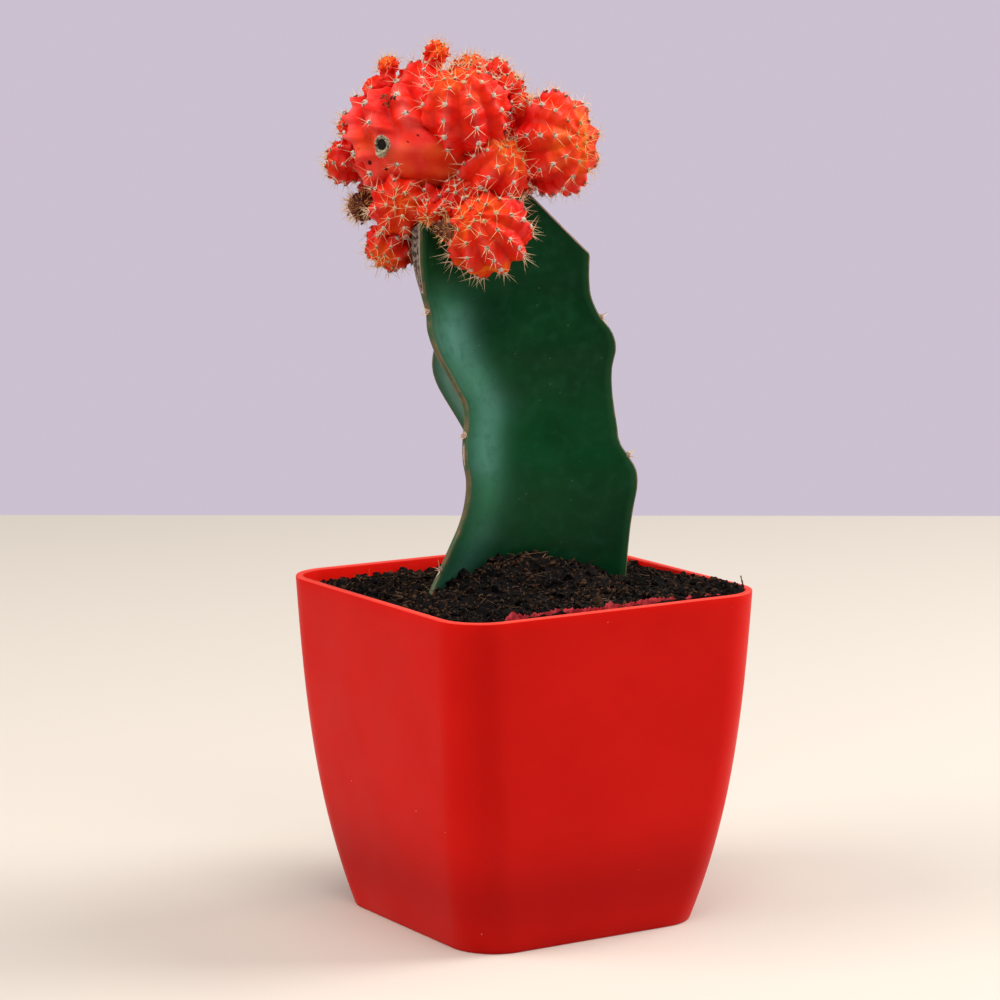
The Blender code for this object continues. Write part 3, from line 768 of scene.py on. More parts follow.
# %% The finish of the mix
def potting_mix(name, dark, light, tone=None):
    wire = new_material(name, Roughness=0.9, Specular_IOR_Level=0.1)
    share = wire.value(tone) if tone else wire.patches(700.0, 5.0, 0.52, 0.72)
    dry = wire.patches(60.0, 2.0, 0.42, 0.62, 0.0, 0.25)
    color = wire.mix(wire.range(wire.times(share, dry, "ADD"), 0.55, 1.1), dark, light)
    grit = wire.times(wire.patches(1500.0, 2.0, 0.62, 0.7), 0.5)
    return wire.finish(Base_Color=wire.mix(grit, color, (0.15, 0.075, 0.036)),
                       Normal=wire.bump(wire.noise(1300.0, 5.0), 0.0004, 0.8))


DAMP_PEAT = potting_mix("damp peat", (0.0025, 0.0017, 0.0014), (0.014, 0.007, 0.0035))
PEAT_CRUMBS = potting_mix("peat crumbs", (0.0025, 0.0018, 0.0015), (0.068, 0.031, 0.015), "tone")
COIR = potting_mix("coir", (0.04, 0.018, 0.008), (0.26, 0.16, 0.085), "tone")
hand_over(soil, DAMP_PEAT, "soil")
hand_over(crumbs, PEAT_CRUMBS)
hand_over(fibres, COIR)

# %% [markdown]
# ## The rootstock
# The rootstock is a cutting of a climbing cactus: a stem with three thin wings, concave
# between them, and a horny edge that swells at each areole. It is not a shape for extrude and
# taper alone, because each wing has its own outline. A cylinder gives the points, in rings;
# a rule then puts each ring on the stem's section at its height.

# %% The outline of the stem
STEM_BOTTOM = 62.0
STEM_TOP = 152.0
RIGHT, REAR, LEFT = 0, 1, 2
WING_TURNS = np.radians((-8.0, 132.0, 228.0))  # of each wing, from across towards back
STEM_AXIS = ((45, -3), (62, -3), (72, -2.6), (82, 0.6), (92, 2.2), (103, 0.9), (112, -0.6),
             (120, -2.9), (128, -5.4), (140, -7.8), (152, -8.5))
RIGHT_MARGIN = ((45, 21.6), (62, 21.6), (72, 21.8), (82, 22.6), (87.5, 23.4), (91.5, 24.1),
                (95, 23.8), (97.7, 22.2), (100.6, 20.4), (104, 19.8), (111, 18.8), (116, 18.7),
                (120.5, 19.5), (124, 18.5), (126.4, 16.5), (130.8, 14.4), (135.4, 13.9),
                (140, 14.0), (152, 13.5))
LEFT_MARGIN = ((45, -20), (62, -20.6), (70.6, -19), (75.9, -16.7), (80.6, -14.6),
               (85.2, -12.6), (89.3, -11.5), (94, -11.1), (98.6, -11.8), (103, -11.8),
               (107.3, -11.5), (110.2, -12), (113.1, -13.5), (116.5, -15.2), (120.2, -17.2),
               (125.1, -18.9), (128.6, -19.2), (133, -20.3), (139.4, -21.4), (145.4, -21.5),
               (152, -21.6))
BACK_REACH = 20.5
BACK_SCALLOP = 1.4
SCALLOP_SPACING = 27.5
BACK_LOBES = ((5.4, 113.5, 8.4), (-3.4, 84.0, 13.0))  # how far out, at what height, how widely
CORK_FROM = 133.0  # above this the left wing's edge was pared off, and has corked over
CORK_HALF_WIDTH = 1.1
MARGIN_FLAT = 0.2475  # half width of the horny edge of a wing
MARGIN_THICK = 0.6  # half thickness of a wing just behind its edge


def wing_reaches(height):
    """Where the stem's axis runs, and how far its right, back and left wings reach."""
    axis = smooth_curve(STEM_AXIS, height)
    right = (smooth_curve(RIGHT_MARGIN, height) - axis) / math.cos(WING_TURNS[RIGHT])
    left = (axis - smooth_curve(LEFT_MARGIN, height)) / -math.cos(WING_TURNS[LEFT])
    scallops = BACK_SCALLOP * np.sin(math.tau * (BACK_LOBES[0][1] - height) / SCALLOP_SPACING + 0.6)
    lobe, waist = (out * bell(height, at, spread) for out, at, spread in BACK_LOBES)
    return axis, (right, BACK_REACH + scallops + lobe + waist, left)


def paring(height):
    """0 where the left wing's edge is whole, rising to 1 where it was pared off."""
    return np.clip((height - CORK_FROM) / 7.0, 0, 1) ** 0.6


def edge_widths(height):
    """Half the width of the flat edge of each wing: wider where the left wing was pared."""
    return MARGIN_FLAT, MARGIN_FLAT, MARGIN_FLAT + (CORK_HALF_WIDTH - MARGIN_FLAT) * paring(height)


def along_and_aside(turn):
    return np.array((math.cos(turn), math.sin(turn))), np.array((-math.sin(turn), math.cos(turn)))


# %% One ring of the stem
EDGE_POINTS = 8  # points round the edge of one wing
FACE_POINTS = 34  # points across one face between two wings
FACE_HOLLOW = 0.37
MARGIN_BEVEL = 0.5
FLAT_SHARE = 0.35  # of the way from an edge's middle to its corner, the flat part
# The bloom is partly the wax on the skin and partly painted sheen, a painted reflection of the light at the
# plant's right.
BLOOM_SHEEN_AT = 5.0  # how far in from the left wing's edge the band of wax bloom and painted sheen lies
BLOOM_SHEEN_SPREAD = 4.4
BLOOM_SHEEN_TOP = 137.0
BLOOM_SHEEN_FADE = 8.0  # it thins out over this stretch below its top, as painted shade under the scion
BLOOM_SHEEN_RISE = 34.0  # and builds up over this one above the stem's foot
LEAST_BLOOM_SHEEN = 0.35  # what there is at the foot
NEAR_EDGE = 0.85  # how near the first points of a face count to an edge, which itself counts 1
EDGE_FADE = 2.2
EDGE_BLOOM_SHEEN = (0.0, 0.0, 0.25)
FACE_BLOOM_SHEEN = (0.0, 0.7, 1.0)  # on the face that follows each wing: wax bloom and painted sheen after the left wing, painted light after the rear wing


def wing_edge(reach, flat, thick):
    """The points round a wing's edge: how far out, and how far to the side."""
    turned = np.linspace(-1, 1, EDGE_POINTS + 1)
    rounded = np.maximum(np.abs(turned) - FLAT_SHARE, 0) / (1 - FLAT_SHARE)
    out = reach - MARGIN_BEVEL * (1 - np.sqrt(np.maximum(1 - rounded**2, 0)))
    level = np.minimum(np.abs(turned) / FLAT_SHARE, 1) * flat * 0.9
    return out, np.sign(turned) * (level + (thick - flat * 0.9) * np.sin(rounded * math.pi / 2))


def wing_face(start, end, pull_start, pull_end):
    """The points across the hollow face between two wings."""
    t = np.arange(1, FACE_POINTS)[:, None] / FACE_POINTS
    return ((1 - t) ** 3 * start + 3 * t * (1 - t) ** 2 * (start - pull_start)
            + 3 * t * t * (1 - t) * (end - pull_end) + t**3 * end)


def stem_ring(height):
    """One ring: rows of (across, back), how near each lies to an edge, and its wax bloom and painted sheen.
    """
    axis, reaches = wing_reaches(height)
    flats = edge_widths(height)
    thicks = [max(MARGIN_THICK, flat + 0.25) for flat in flats]
    risen = max((height - STEM_BOTTOM) / BLOOM_SHEEN_RISE, LEAST_BLOOM_SHEEN)
    wax_and_sheen = min(max((BLOOM_SHEEN_TOP - height) / BLOOM_SHEEN_FADE, 0.0), risen, 1.0)
    ring, nearness, bloom = [], [], []
    for wing, following in ((RIGHT, REAR), (REAR, LEFT), (LEFT, RIGHT)):
        along, aside = along_and_aside(WING_TURNS[wing])
        next_along, next_aside = along_and_aside(WING_TURNS[following])
        out, side = wing_edge(reaches[wing], flats[wing], thicks[wing])
        start = along * (reaches[wing] - MARGIN_BEVEL) + aside * thicks[wing]
        end = next_along * (reaches[following] - MARGIN_BEVEL) - next_aside * thicks[following]
        face = wing_face(start, end, along * reaches[wing] * FACE_HOLLOW,
                         next_along * reaches[following] * FACE_HOLLOW)
        from_start, from_end = (np.hypot(*(face - corner).T) for corner in (start, end))
        ring += [out[:, None] * along + side[:, None] * aside, face]
        inwards = np.minimum(from_start, from_end) / EDGE_FADE
        nearness += [np.ones(len(out)), np.maximum(NEAR_EDGE - inwards, 0.0)]
        bloom += [np.full(len(out), EDGE_BLOOM_SHEEN[wing]),
                  FACE_BLOOM_SHEEN[wing] * wax_and_sheen * bell(from_start, BLOOM_SHEEN_AT, BLOOM_SHEEN_SPREAD)]
    return np.concatenate(ring) + (axis, 0.0), np.concatenate(nearness), np.concatenate(bloom)


# %% The stem as rings on that outline
STEM_RINGS = 150
RING_POINTS = 3 * (EDGE_POINTS + FACE_POINTS)


def model_stem():
    stem = add(bpy.ops.mesh.primitive_cylinder_add, vertices=RING_POINTS, radius=10 * MM, depth=1.0,
               end_fill_type="NGON")
    points = cut_into_rings(stem, STEM_RINGS)
    around = np.arctan2(points[:, 1], points[:, 0]) / math.tau * RING_POINTS
    around = np.round(around).astype(int) % RING_POINTS
    level = np.round((points[:, 2] + 0.5) * (STEM_RINGS + 1)).astype(int)
    near, bloomed = np.empty((2, len(points)))
    for ring, height in enumerate(np.linspace(STEM_BOTTOM, STEM_TOP, STEM_RINGS + 2)):
        mine = level == ring
        spot, near[mine], bloomed[mine] = (rows[around[mine]] for rows in stem_ring(height))
        points[mine] = spot[:, :1] * ACROSS + spot[:, 1:] * BACK + (0, 0, height)
    return shape(stem, points, "stem_skin", edge=near, bloom=bloomed)


stem = model_stem()

# %% The cuts that took off the wings' shoulders
# direction in degrees, how far along it from the axis and how high the cut lies, its steepness
SHOULDER_CUTS = ((11.0, 21.5, 139.1, 1.0), (180.0, 13.2, 146.5, 0.85), (132.0, 15.0, 143.0, 1.1))
CORK_LINE = 0.45  # how far the cork of a cut reaches over its edge


def cut_plane(turn, along, up, steepness):
    """A place on a cut's plane, and the direction in which all is cut away."""
    outward = plant_direction(turn, 0)
    axis = plant_point(smooth_curve(STEM_AXIS, up), 0, up)
    return axis + outward * along, (outward * steepness + Vector((0, 0, 1))).normalized()


def cut_shoulders(stem):
    for cut in SHOULDER_CUTS:
        place, normal = cut_plane(*cut)
        edit(stem)
        for below, cut_off in ((CORK_LINE, False), (0.0, True)):
            bpy.ops.mesh.select_all(action="SELECT")
            bpy.ops.mesh.bisect(plane_co=(place - normal * below) * MM, plane_no=normal,
                                clear_outer=cut_off)
        bpy.ops.mesh.select_all(action="SELECT")
        bpy.ops.mesh.fill_holes(sides=0)
        bpy.ops.mesh.normals_make_consistent(inside=False)
        bpy.ops.object.mode_set(mode="OBJECT")


cut_shoulders(stem)
apply(stem, "BEVEL", width=0.2 * MM, segments=2, limit_method="ANGLE", angle_limit=math.radians(38))
smooth_shading(stem, 55)


# %% Mark the cork: on the cuts, on the pared edge, and on one old scar of the same edge
SCAR_AT = 99.6
SCAR_REACH = 3.4  # up and down from there
SCAR_HALF_WIDTH = 0.4
SCAR_STRENGTH = 0.55
SCAR_DEPTH = 0.7  # in from the edge
PARED_DEPTH = 0.55


def near_cuts(points):
    """0.8 on a shoulder's cut face, falling to 0 just beside it."""
    cork = np.zeros(len(points))
    for cut in SHOULDER_CUTS:
        place, normal = (np.array(vector) for vector in cut_plane(*cut))
        off = np.abs((points - place) @ normal)
        cork = np.maximum(cork, 0.8 * np.clip(1.1 - off / CORK_LINE, 0, 1) ** 0.5)
    return cork


def mark_cork(stem):
    points = points_of(stem) / MM
    across, back, up = points @ ACROSS, points @ BACK, points[:, 2]
    axis, reaches = wing_reaches(up)
    along, aside = along_and_aside(WING_TURNS[LEFT])
    inside = reaches[LEFT] - (across - axis) * along[0] - back * along[1]
    side = np.abs((across - axis) * aside[0] + back * aside[1])
    pared = (inside < PARED_DEPTH) & (side < paring(up) * CORK_HALF_WIDTH + 0.1) & (up > CORK_FROM)
    narrowing = SCAR_HALF_WIDTH * (1 - np.abs(up - SCAR_AT) / SCAR_REACH)
    scar = SCAR_STRENGTH * ((inside < SCAR_DEPTH) & (side < narrowing))
    keep_value(stem, "cork", np.maximum(near_cuts(points), np.maximum(pared, scar)))


mark_cork(stem)

# %% [markdown]
# The rootstock's skin is dark green and waxy. A bluer band beside the left wing's edge is
# partly wax bloom and partly painted sheen, a paler band behind the rear wing is painted
# light, and both fade out under the scion as painted shade. Its edges have a thin tan line of
# cork, and tiny pale pores are scattered over the faces.

# %% The green skin
def green_skin():
    wire = new_material("green skin", Specular_IOR_Level=0.11, Subsurface_Weight=0.06,
                        Subsurface_Radius=(0.3, 1.0, 0.3), Subsurface_Scale=0.001)
    cloud = wire.group(MOTTLE, Per_Metre=55.0, Low=0.32, High=0.7)
    # wax bloom and painted sheen beside the left wing, painted light behind the rear wing, painted shade
    # under the scion
    wax_and_sheen_share = wire.times(wire.value("bloom"), wire.patches(38.0, 3.0, 0.3, 0.7, 0.45, 1.0, (1, 1, 0.4)))
    wax_and_sheen = wire.mix(wire.patches(30.0, 3.0, 0.4, 0.6), (0.060, 0.245, 0.130), (0.115, 0.310, 0.245))
    fine = wire.patches(420.0, 4.0, 0.45, 0.75)
    edge, cork = wire.value("edge"), wire.value("cork")
    horn = wire.times(wire.range(edge, 0.93, 0.99), wire.patches(420.0, 4.0, 0.38, 0.62, 0.25, 0.85))
    pores = wire.group(SPECKS, Per_Metre=520.0, Size=0.07, Share=0.3)
    streaks = wire.patches(2100.0, 4.0, 0.38, 0.6, stretch=(1, 1, 0.6))
    bark = wire.mix(streaks, (0.040, 0.026, 0.021), (0.25, 0.18, 0.15))
    bark = wire.mix(wire.range(cork, 0.95, 0.7), bark, (0.44, 0.33, 0.25))
    color = wire.layers((0.0015, 0.034, 0.009), (cloud, (0.003, 0.056, 0.014)),
                        (wire.times(wax_and_sheen_share, 0.85), wax_and_sheen),
                        (wire.times(fine, 0.35), (0.012, 0.075, 0.035)),
                        (wire.range(edge, 0.25, 0.85, 0.0, 0.35), (0.03, 0.11, 0.04)),
                        (horn, (0.17, 0.115, 0.06)),
                        (wire.times(pores, 0.45), (0.10, 0.22, 0.13)),
                        (wire.range(cork, 0.35, 0.6), bark))
    rough = wire.patches(130.0, 3.0, 0.35, 0.7, 0.30, 0.42)
    rough = wire.times(rough, wire.range(cork, 0.3, 0.7, 0.0, 0.5), "ADD")
    grain = wire.bump(wire.noise(1500.0, 3.0), 0.00005, 0.35)
    bark_grain = wire.times(wire.noise(1100.0, 5.0, (1, 1, 0.35)), cork)
    return wire.finish(Base_Color=color, Roughness=rough,
                       Normal=wire.bump(bark_grain, 0.0004, 0.9, Normal=grain))


hand_over(stem, green_skin(), "rootstock")

# %% [markdown]
# ## The red scion
# The red plant is a cluster: a mother and the offsets that budded from her areoles, each a
# ribbed globe with a growing point of its own. Every rib is cut into tubercles, and on top of
# each tubercle sits an areole, a small woolly cushion from which the spines grow. One rule
# shapes every globe from a sphere, so the list of globes holds only what differs.

# %% The globes
Globe = namedtuple("Globe", "name centre radius apex ribs flat glow twist spiral", defaults=(0, 0))
# centre (across, back, up); radius; where the growing point looks (turn from across towards
# back, rise; degrees); ribs; height for a width of 1; how orange its point is; turn of the ribs
# and how they wind round the globe (degrees, and degrees for each radian down from the point)
GLOBES = [Globe(*row) for row in (
    ("mother", (-20.8, 1.5, 162.9), 16.5, (60, 80), 11, 0.83, 0.05, -12, 35),
    ("top", (-11.9, -8.5, 169.0), 9.6, (256, 65), 9, 0.98, 0.5, 15),
    ("right", (6.9, -2.0, 162.4), 10.7, (322, 8), 9, 0.7, 1.0, -17),
    ("hanging", (-7.1, -13.5, 145.0), 9.0, (246, 31), 10, 0.93, 0.65, -5),
    ("centre", (-5.8, -9.0, 157.6), 7.6, (314, 41), 8, 0.93, 0.8),
    ("lower_left", (-25.0, -10.5, 150.2), 6.4, (272, 14), 8, 0.9, 0.5, 12),
    ("nest_right", (-12.3, -10.5, 151.6), 5.2, (262, 35), 7, 0.9, 0.1),
    ("nest_left", (-18.8, -10.0, 150.2), 4.6, (250, -5), 7, 0.9, 0.2),
    ("dried", (-14.3, -17.1, 145.3), 2.0, (262, -30), 6, 0.9, 0.5),
    ("dried_low", (-16.5, -16.3, 145.9), 1.5, (262, -10), 5, 0.9, 0.5),
    ("fringe", (-18.9, -14.2, 149.0), 2.7, (255, -25), 6, 0.9, 0.8),
    ("fringe_mid", (-15.6, -13.2, 149.8), 2.4, (265, -20), 6, 0.9, 0.6),
    ("crown_back", (-20.6, 0.0, 174.0), 5.6, (70, 66), 8, 0.95, 0.05),
    ("low_left", (-26.8, -7.5, 141.9), 5.4, (238, -38), 8, 0.92, 0.6),
    ("far_left", (-36.5, 1.0, 158.4), 4.7, (190, 5), 7, 0.9, 0.3),
    ("withered", (-33.0, 0.5, 149.3), 3.3, (190, -30), 6, 0.9, 0.2),
    ("left_bud", (-36.0, 1.5, 165.8), 2.2, (180, 30), 5, 0.9, 0.2),
    ("crown_left", (-30.0, 0.0, 173.6), 2.9, (150, 45), 6, 0.9, 0.1),
    ("neck_left", (-27.4, 0.0, 175.2), 2.1, (150, 75), 5, 1.2, 0.0),
    ("bud_left", (-27.4, 0.0, 178.2), 2.3, (150, 80), 6, 0.85, 1.0),
    ("neck_top", (-18.2, 0.0, 179.2), 2.1, (120, 75), 5, 1.2, 0.0),
    ("bud_top", (-17.5, -0.5, 180.9), 2.7, (330, 45), 6, 0.9, 1.0),
    ("crown_right", (-10.6, 4.0, 176.2), 4.5, (255, 55), 8, 0.92, 0.6, 10),
    ("shoulder_top", (-5.0, -3.0, 177.6), 2.6, (330, 60), 6, 0.9, 0.3),
    ("shoulder", (-2.4, -4.0, 174.2), 3.1, (330, 45), 6, 0.9, 0.4),
    ("shoulder_low", (-0.4, -5.0, 170.6), 2.8, (330, 25), 6, 0.9, 0.5),
    ("under_right", (0.8, -5.5, 154.2), 2.1, (300, -20), 5, 0.9, 0.1),
    ("back_top", (-15.0, 11.5, 169.5), 8.4, (85, 45), 9, 0.92, 0.6),
    ("back_left", (-27.0, 12.0, 161.0), 7.8, (125, 15), 8, 0.92, 0.5),
    ("back_right", (-7.0, 13.0, 158.5), 8.2, (70, 5), 9, 0.92, 0.8),
    ("back_low", (-18.0, 14.5, 152.8), 6.6, (100, -20), 8, 0.92, 0.7),
    ("back_shoulder", (2.6, 8.5, 166.2), 5.4, (30, 40), 7, 0.92, 0.6),
    ("back_crown", (-29.8, 8.5, 169.6), 4.4, (140, 45), 7, 0.92, 0.4),
    ("back_left_low", (-30.0, 5.0, 152.6), 4.2, (165, -25), 7, 0.92, 0.4),
    ("back_under", (-4.6, 9.5, 151.2), 4.6, (50, -35), 7, 0.92, 0.6),
)]
MOTHER = GLOBES[0]
WITHERED = ("withered", "dried", "dried_low")
BARE = ("crown_left", "neck_left", "neck_top", *WITHERED)  # without areoles of the usual kind
CORES = (((-8.8, 0.5, 159.5), 9.6), ((-17.5, -3.5, 153.2), 6.2))  # what the globes grow from, unseen
RIB_DEPTH = 0.185  # of the globe's radius
YOUNG_RIB_DEPTH = 0.125
TUBERCLE_RELIEF = 0.05
ROW_SHIFT = 0.55  # how far each rib's row of tubercles starts after the last one's
TUBERCLE_LAG = 0.9  # how far below its areole a tubercle is fullest
APEX_DIMPLE = 0.09
OLD_RADIUS = 12.0
BROWN_TIPPED = ("bud_left", "bud_top")  # young buds: coarse tubercles with brown areoles
BUD_COARSENESS = 1.9
SHADE_AMONG_GLOBES = {"nest_left": 0.7, "nest_right": 0.55, "lower_left": 0.35, "low_left": 0.3,
            "far_left": 0.5}  # share of painted shade, for globes that sit deep among the others
PAINTED_UNDERGLOW = {"hanging": 0.75, "centre": 0.3, "lower_left": 0.3}  # painted glow: how orange the downward-facing underside is painted
CALM_LEVEL = 0.72
CALM_FLANK = ((-30, 4), (80, 50), (78, 98))  # where it starts and ends round the mother, and down her
# the pale flank is partly salmon skin and partly painted sheen
PALE_SHEEN_FLANK = ((-62, -22), (82, 45), (80, 100))  # each as a soft step between two angles in degrees
AREOLE_SPACING = (1.1, 0.24, 5.2)  # plain part, share of the radius, most
FIRST_AREOLE = 0.4  # polar angle of a rib's first areole, in radians
LAST_AREOLE = 2.25
NEAREST_AREOLE = 0.12  # to the growing point
DARK_CLEAR = 0.2  # round the dark areole, all in radians
DARK_AREOLE = np.radians((102.0, -15.0))  # down and around on the mother


def globe_axes(globe):
    """A globe's axis and two directions square to it, the first turned with its ribs."""
    axis = plant_direction(*globe.apex)
    front = plant_point(0, -1, 0)
    guide = front if abs(axis.dot(front)) < 0.75 else Vector((0, 0, 1))
    first = (guide - axis * guide.dot(axis)).normalized()
    second = axis.cross(first)
    cos, sin = math.cos(math.radians(globe.twist)), math.sin(math.radians(globe.twist))
    return [np.array(v) for v in (axis, first * cos + second * sin, second * cos - first * sin)]


def areole_step(globe):
    plain, share, most = AREOLE_SPACING
    return min(plain + share * globe.radius, most) / globe.radius


# %% The rule that shapes a globe
def rib_coordinates(globe, polar, around):
    """How far across its rib each place lies, -0.5 to 0.5, and how far down its row of tubercles."""
    wound = around - math.radians(globe.spiral) * (polar - 1.3)
    turns = wound * globe.ribs / math.tau
    rib = np.round(turns) % globe.ribs
    row = (polar - FIRST_AREOLE) / areole_step(globe) - (rib * ROW_SHIFT) % 1.0
    return turns - np.round(turns), row


def rib_profile(globe, across):
    """1 on a rib's crest and 0 in the furrow: the old mother's furrows are sharp, the young ones' round."""
    if globe.radius > OLD_RADIUS:
        return 1.0 - np.abs(2 * across) ** 1.6
    return (0.5 + 0.5 * np.cos(math.tau * across)) ** 0.85


def flank(globe, polar, around, start, end, down):
    """1 on one broad flank of the mother, and 0 on every other globe."""
    if globe is not MOTHER:
        return np.zeros(len(polar))
    turn = np.degrees(around)
    return smooth_step(turn, *start) * smooth_step(turn, *end) * smooth_step(np.degrees(polar), *down)


def wrinkles(polar, around):
    return np.cos(polar * 17.0 + around * 1.5 + 0.6)


def skin_reach(globe, polar, around):
    """Distance from a globe's middle to its skin."""
    across, row = rib_coordinates(globe, polar, around)
    ridge = rib_profile(globe, across)
    calm = flank(globe, polar, around, *CALM_FLANK)
    ridge = ridge + (CALM_LEVEL - ridge) * calm
    fade = np.maximum(np.sin(polar), 0.0) ** 0.8
    phase = math.tau * row - TUBERCLE_LAG
    chin = np.cos(phase) + 0.35 * np.cos(2 * phase - 0.6)
    keel = 0.012 * bell(across, 0, 0.07)
    dimple = APEX_DIMPLE * bell(polar, 0, 0.33)
    coarse = BUD_COARSENESS if globe.name in BROWN_TIPPED else 1.0
    depth = RIB_DEPTH if globe.radius > OLD_RADIUS or coarse > 1 else YOUNG_RIB_DEPTH
    folds = 0.011 * calm * wrinkles(polar, around)
    return globe.radius * (1.0 - depth * coarse * (1.0 - ridge) * fade + folds
                           + (TUBERCLE_RELIEF * coarse * ridge * chin + keel) * (1 - calm) * fade - dimple)


def skin_places(globe, polar, around):
    """Places on a globe's skin in millimetres, and roughly the directions they face."""
    axis, first, second = globe_axes(globe)
    level = np.outer(np.cos(around), first) + np.outer(np.sin(around), second)
    up, out = np.outer(np.cos(polar), axis), level * np.sin(polar)[:, None]
    reach = skin_reach(globe, polar, around)[:, None]
    return np.array(plant_point(*globe.centre)) + (up * globe.flat + out) * reach, up + out


def skin_spot(globe, polar, around):
    """One place on a globe's skin, and the direction it faces."""
    place, outward = skin_places(globe, np.array([polar]), np.array([around]))
    return Vector(place[0]), Vector(outward[0]).normalized()


# %% The mother's scars
# around her, down from her point (degrees), size in millimetres
SCARS = ((-17, 62, 1.6), (-15, 60, 0.65), (-20, 63, 0.65), (-11, 61, 0.5), (-10, 85, 0.8),
         (-37, 90, 1.0), (-42, 106, 1.2), (-34, 119, 0.5), (3, 99, 0.3), (7, 110, 0.26),
         (-20, 126, 0.35), (10, 92, 0.28), (-50, 74, 0.9))
FAINT_SCAR = 0.7  # scars larger than this have faded


def scars_at(globe, polar, around):
    """1 in the middle of a scar, falling to 0 outside it; only the mother has any."""
    scar = np.zeros(len(polar))
    for turn, down, size in SCARS if globe is MOTHER else ():
        off_side = (around - math.radians(turn)) * np.sin(polar)
        off = np.hypot(off_side, polar - math.radians(down)) * globe.radius
        scar = np.maximum(scar, (0.4 if size > FAINT_SCAR else 1.0) * bell(off, 0, size))
    return scar


# %% One globe
FULL_DETAIL = 9.0  # radius from which a globe gets the most points
GLOBE_RINGS = (24, 84)  # fewest, most
RIB_POINTS = (8, 14)  # across one rib: fewest, most


def model_globe(globe):
    """A sphere with enough points for its ribs, moved onto the globe's skin."""
    fine = min(max(globe.radius / FULL_DETAIL, 0.45), 1.0)
    rings, per_rib = (max(fewest, round(most * fine)) for fewest, most in (GLOBE_RINGS, RIB_POINTS))
    piece = add(bpy.ops.mesh.primitive_uv_sphere_add, radius=1.0, ring_count=rings,
                segments=globe.ribs * per_rib)
    unit = points_of(piece)
    polar = np.arccos(np.clip(unit[:, 2], -1, 1))
    around = np.arctan2(unit[:, 1], unit[:, 0])
    places, outward = skin_places(globe, polar, around)
    places += outward * (noise_at(places, 0.22) * 0.05 * globe.radius)[:, None]
    across, _ = rib_coordinates(globe, polar, around)
    ribbed = 1 - flank(globe, polar, around, *CALM_FLANK)
    old = globe.radius > OLD_RADIUS
    # painted highlight: pinker along the crests
    crest = bell(across, 0, 0.22 if old else 0.15) * np.minimum(np.sin(polar) * 1.5, 1)
    # painted shade: darker in the furrows between the ribs
    furrow = np.abs(2 * across) ** 5
    tip = globe.glow * bell(polar, 0, 0.75 if globe.radius > 4 else 1.4)
    # painted glow on the underside that faces down
    under = PAINTED_UNDERGLOW.get(globe.name, 0.0) * smooth_step(-outward[:, 2], 0.45, 0.85)
    # painted shade and light that follow the folds of the mother's flank
    fold_shading = 0.72 + 0.28 * wrinkles(polar, around)
    return shape(piece, places, "globe_" + globe.name, 180,
                 crest=crest * ribbed * (1.0 if old else 0.55),
                 furrow=furrow * ribbed * (1.0 if old else 0.7),
                 tip=np.maximum(tip, under),
                 deep=np.full(len(polar), SHADE_AMONG_GLOBES.get(globe.name, 0.0)),
                 flank=fold_shading * flank(globe, polar, around, *PALE_SHEEN_FLANK),
                 scar=scars_at(globe, polar, around))


# %% [markdown]
# The scion's flesh is juicy and a little see-through, so light spreads under its skin. The
# skin is red, and orange where it still grows. Painted shade darkens the furrows and the globes
# deep in the cluster, painted highlight makes the crests pinker, the mother's pale flank is
# partly salmon skin and partly painted sheen, and a few undersides get a painted orange glow.

# %% The red skin
def red_skin():
    wire = new_material("red skin", Specular_IOR_Level=0.07, Subsurface_Weight=0.3,
                        Subsurface_Radius=(1.0, 0.14, 0.05), Subsurface_Scale=0.0014)
    warm = wire.patches(150.0, 3.0, 0.40, 0.62)
    salmon = wire.times(wire.patches(330.0, 2.0, 0.52, 0.66), 0.5)
    # painted highlight along the crests
    line = wire.times(wire.value("crest"), wire.patches(240.0, 3.0, 0.35, 0.6, 0.15, 0.9))
    tip = wire.times(wire.value("tip"), wire.patches(210.0, 2.0, 0.42, 0.60, 0.25, 0.95))
    lit = wire.patches(110.0, 4.0, 0.3, 0.65, 0.35, 0.95, (1.0, 0.5, 1.8))
    # partly salmon skin and partly painted sheen on the mother's flank
    pale = wire.mix(wire.patches(75.0, 2.0, 0.42, 0.58), (0.85, 0.080, 0.062), (0.87, 0.145, 0.032))
    pores = wire.group(SPECKS, Per_Metre=420.0, Size=0.06, Share=0.16)
    color = wire.layers((0.72, 0.005, 0.003), (warm, (0.80, 0.017, 0.003)),
                        (salmon, (0.84, 0.040, 0.026)),
                        # painted shade in the furrows
                        (wire.times(wire.value("furrow"), 0.55), (0.30, 0.002, 0.002)),
                        # painted shade for globes deep among the others
                        (wire.value("deep"), (0.46, 0.003, 0.002)),
                        # painted highlight along the crests
                        (line, (0.88, 0.115, 0.095)),
                        # the orange growing point, and painted glow on some undersides
                        (tip, (0.88, 0.17, 0.008)),
                        # painted sheen on the mother's pale flank, with painted shade along its folds
                        (wire.times(wire.value("flank"), lit), pale),
                        (wire.range(wire.value("scar"), 0.28, 0.5), (0.10, 0.008, 0.004)),
                        (wire.times(pores, 0.6), (0.25, 0.02, 0.01)))
    return wire.finish(Base_Color=color, Roughness=wire.patches(300.0, 3.0, 0.3, 0.7, 0.32, 0.5),
                       Normal=wire.bump(wire.noise(900.0, 4.0), 0.00018, 0.4))


def withered_skin():
    wire = new_material("withered skin", Roughness=0.7, Specular_IOR_Level=0.2)
    color = wire.mix(wire.patches(420.0, 4.0, 0.35, 0.65), (0.06, 0.012, 0.006), (0.24, 0.070, 0.026))
    # painted shade in the furrows
    color = wire.mix(wire.times(wire.value("furrow"), 0.8), color, (0.02, 0.006, 0.004))
    return wire.finish(Base_Color=color, Normal=wire.bump(wire.noise(900.0, 5.0), 0.0005, 0.9))


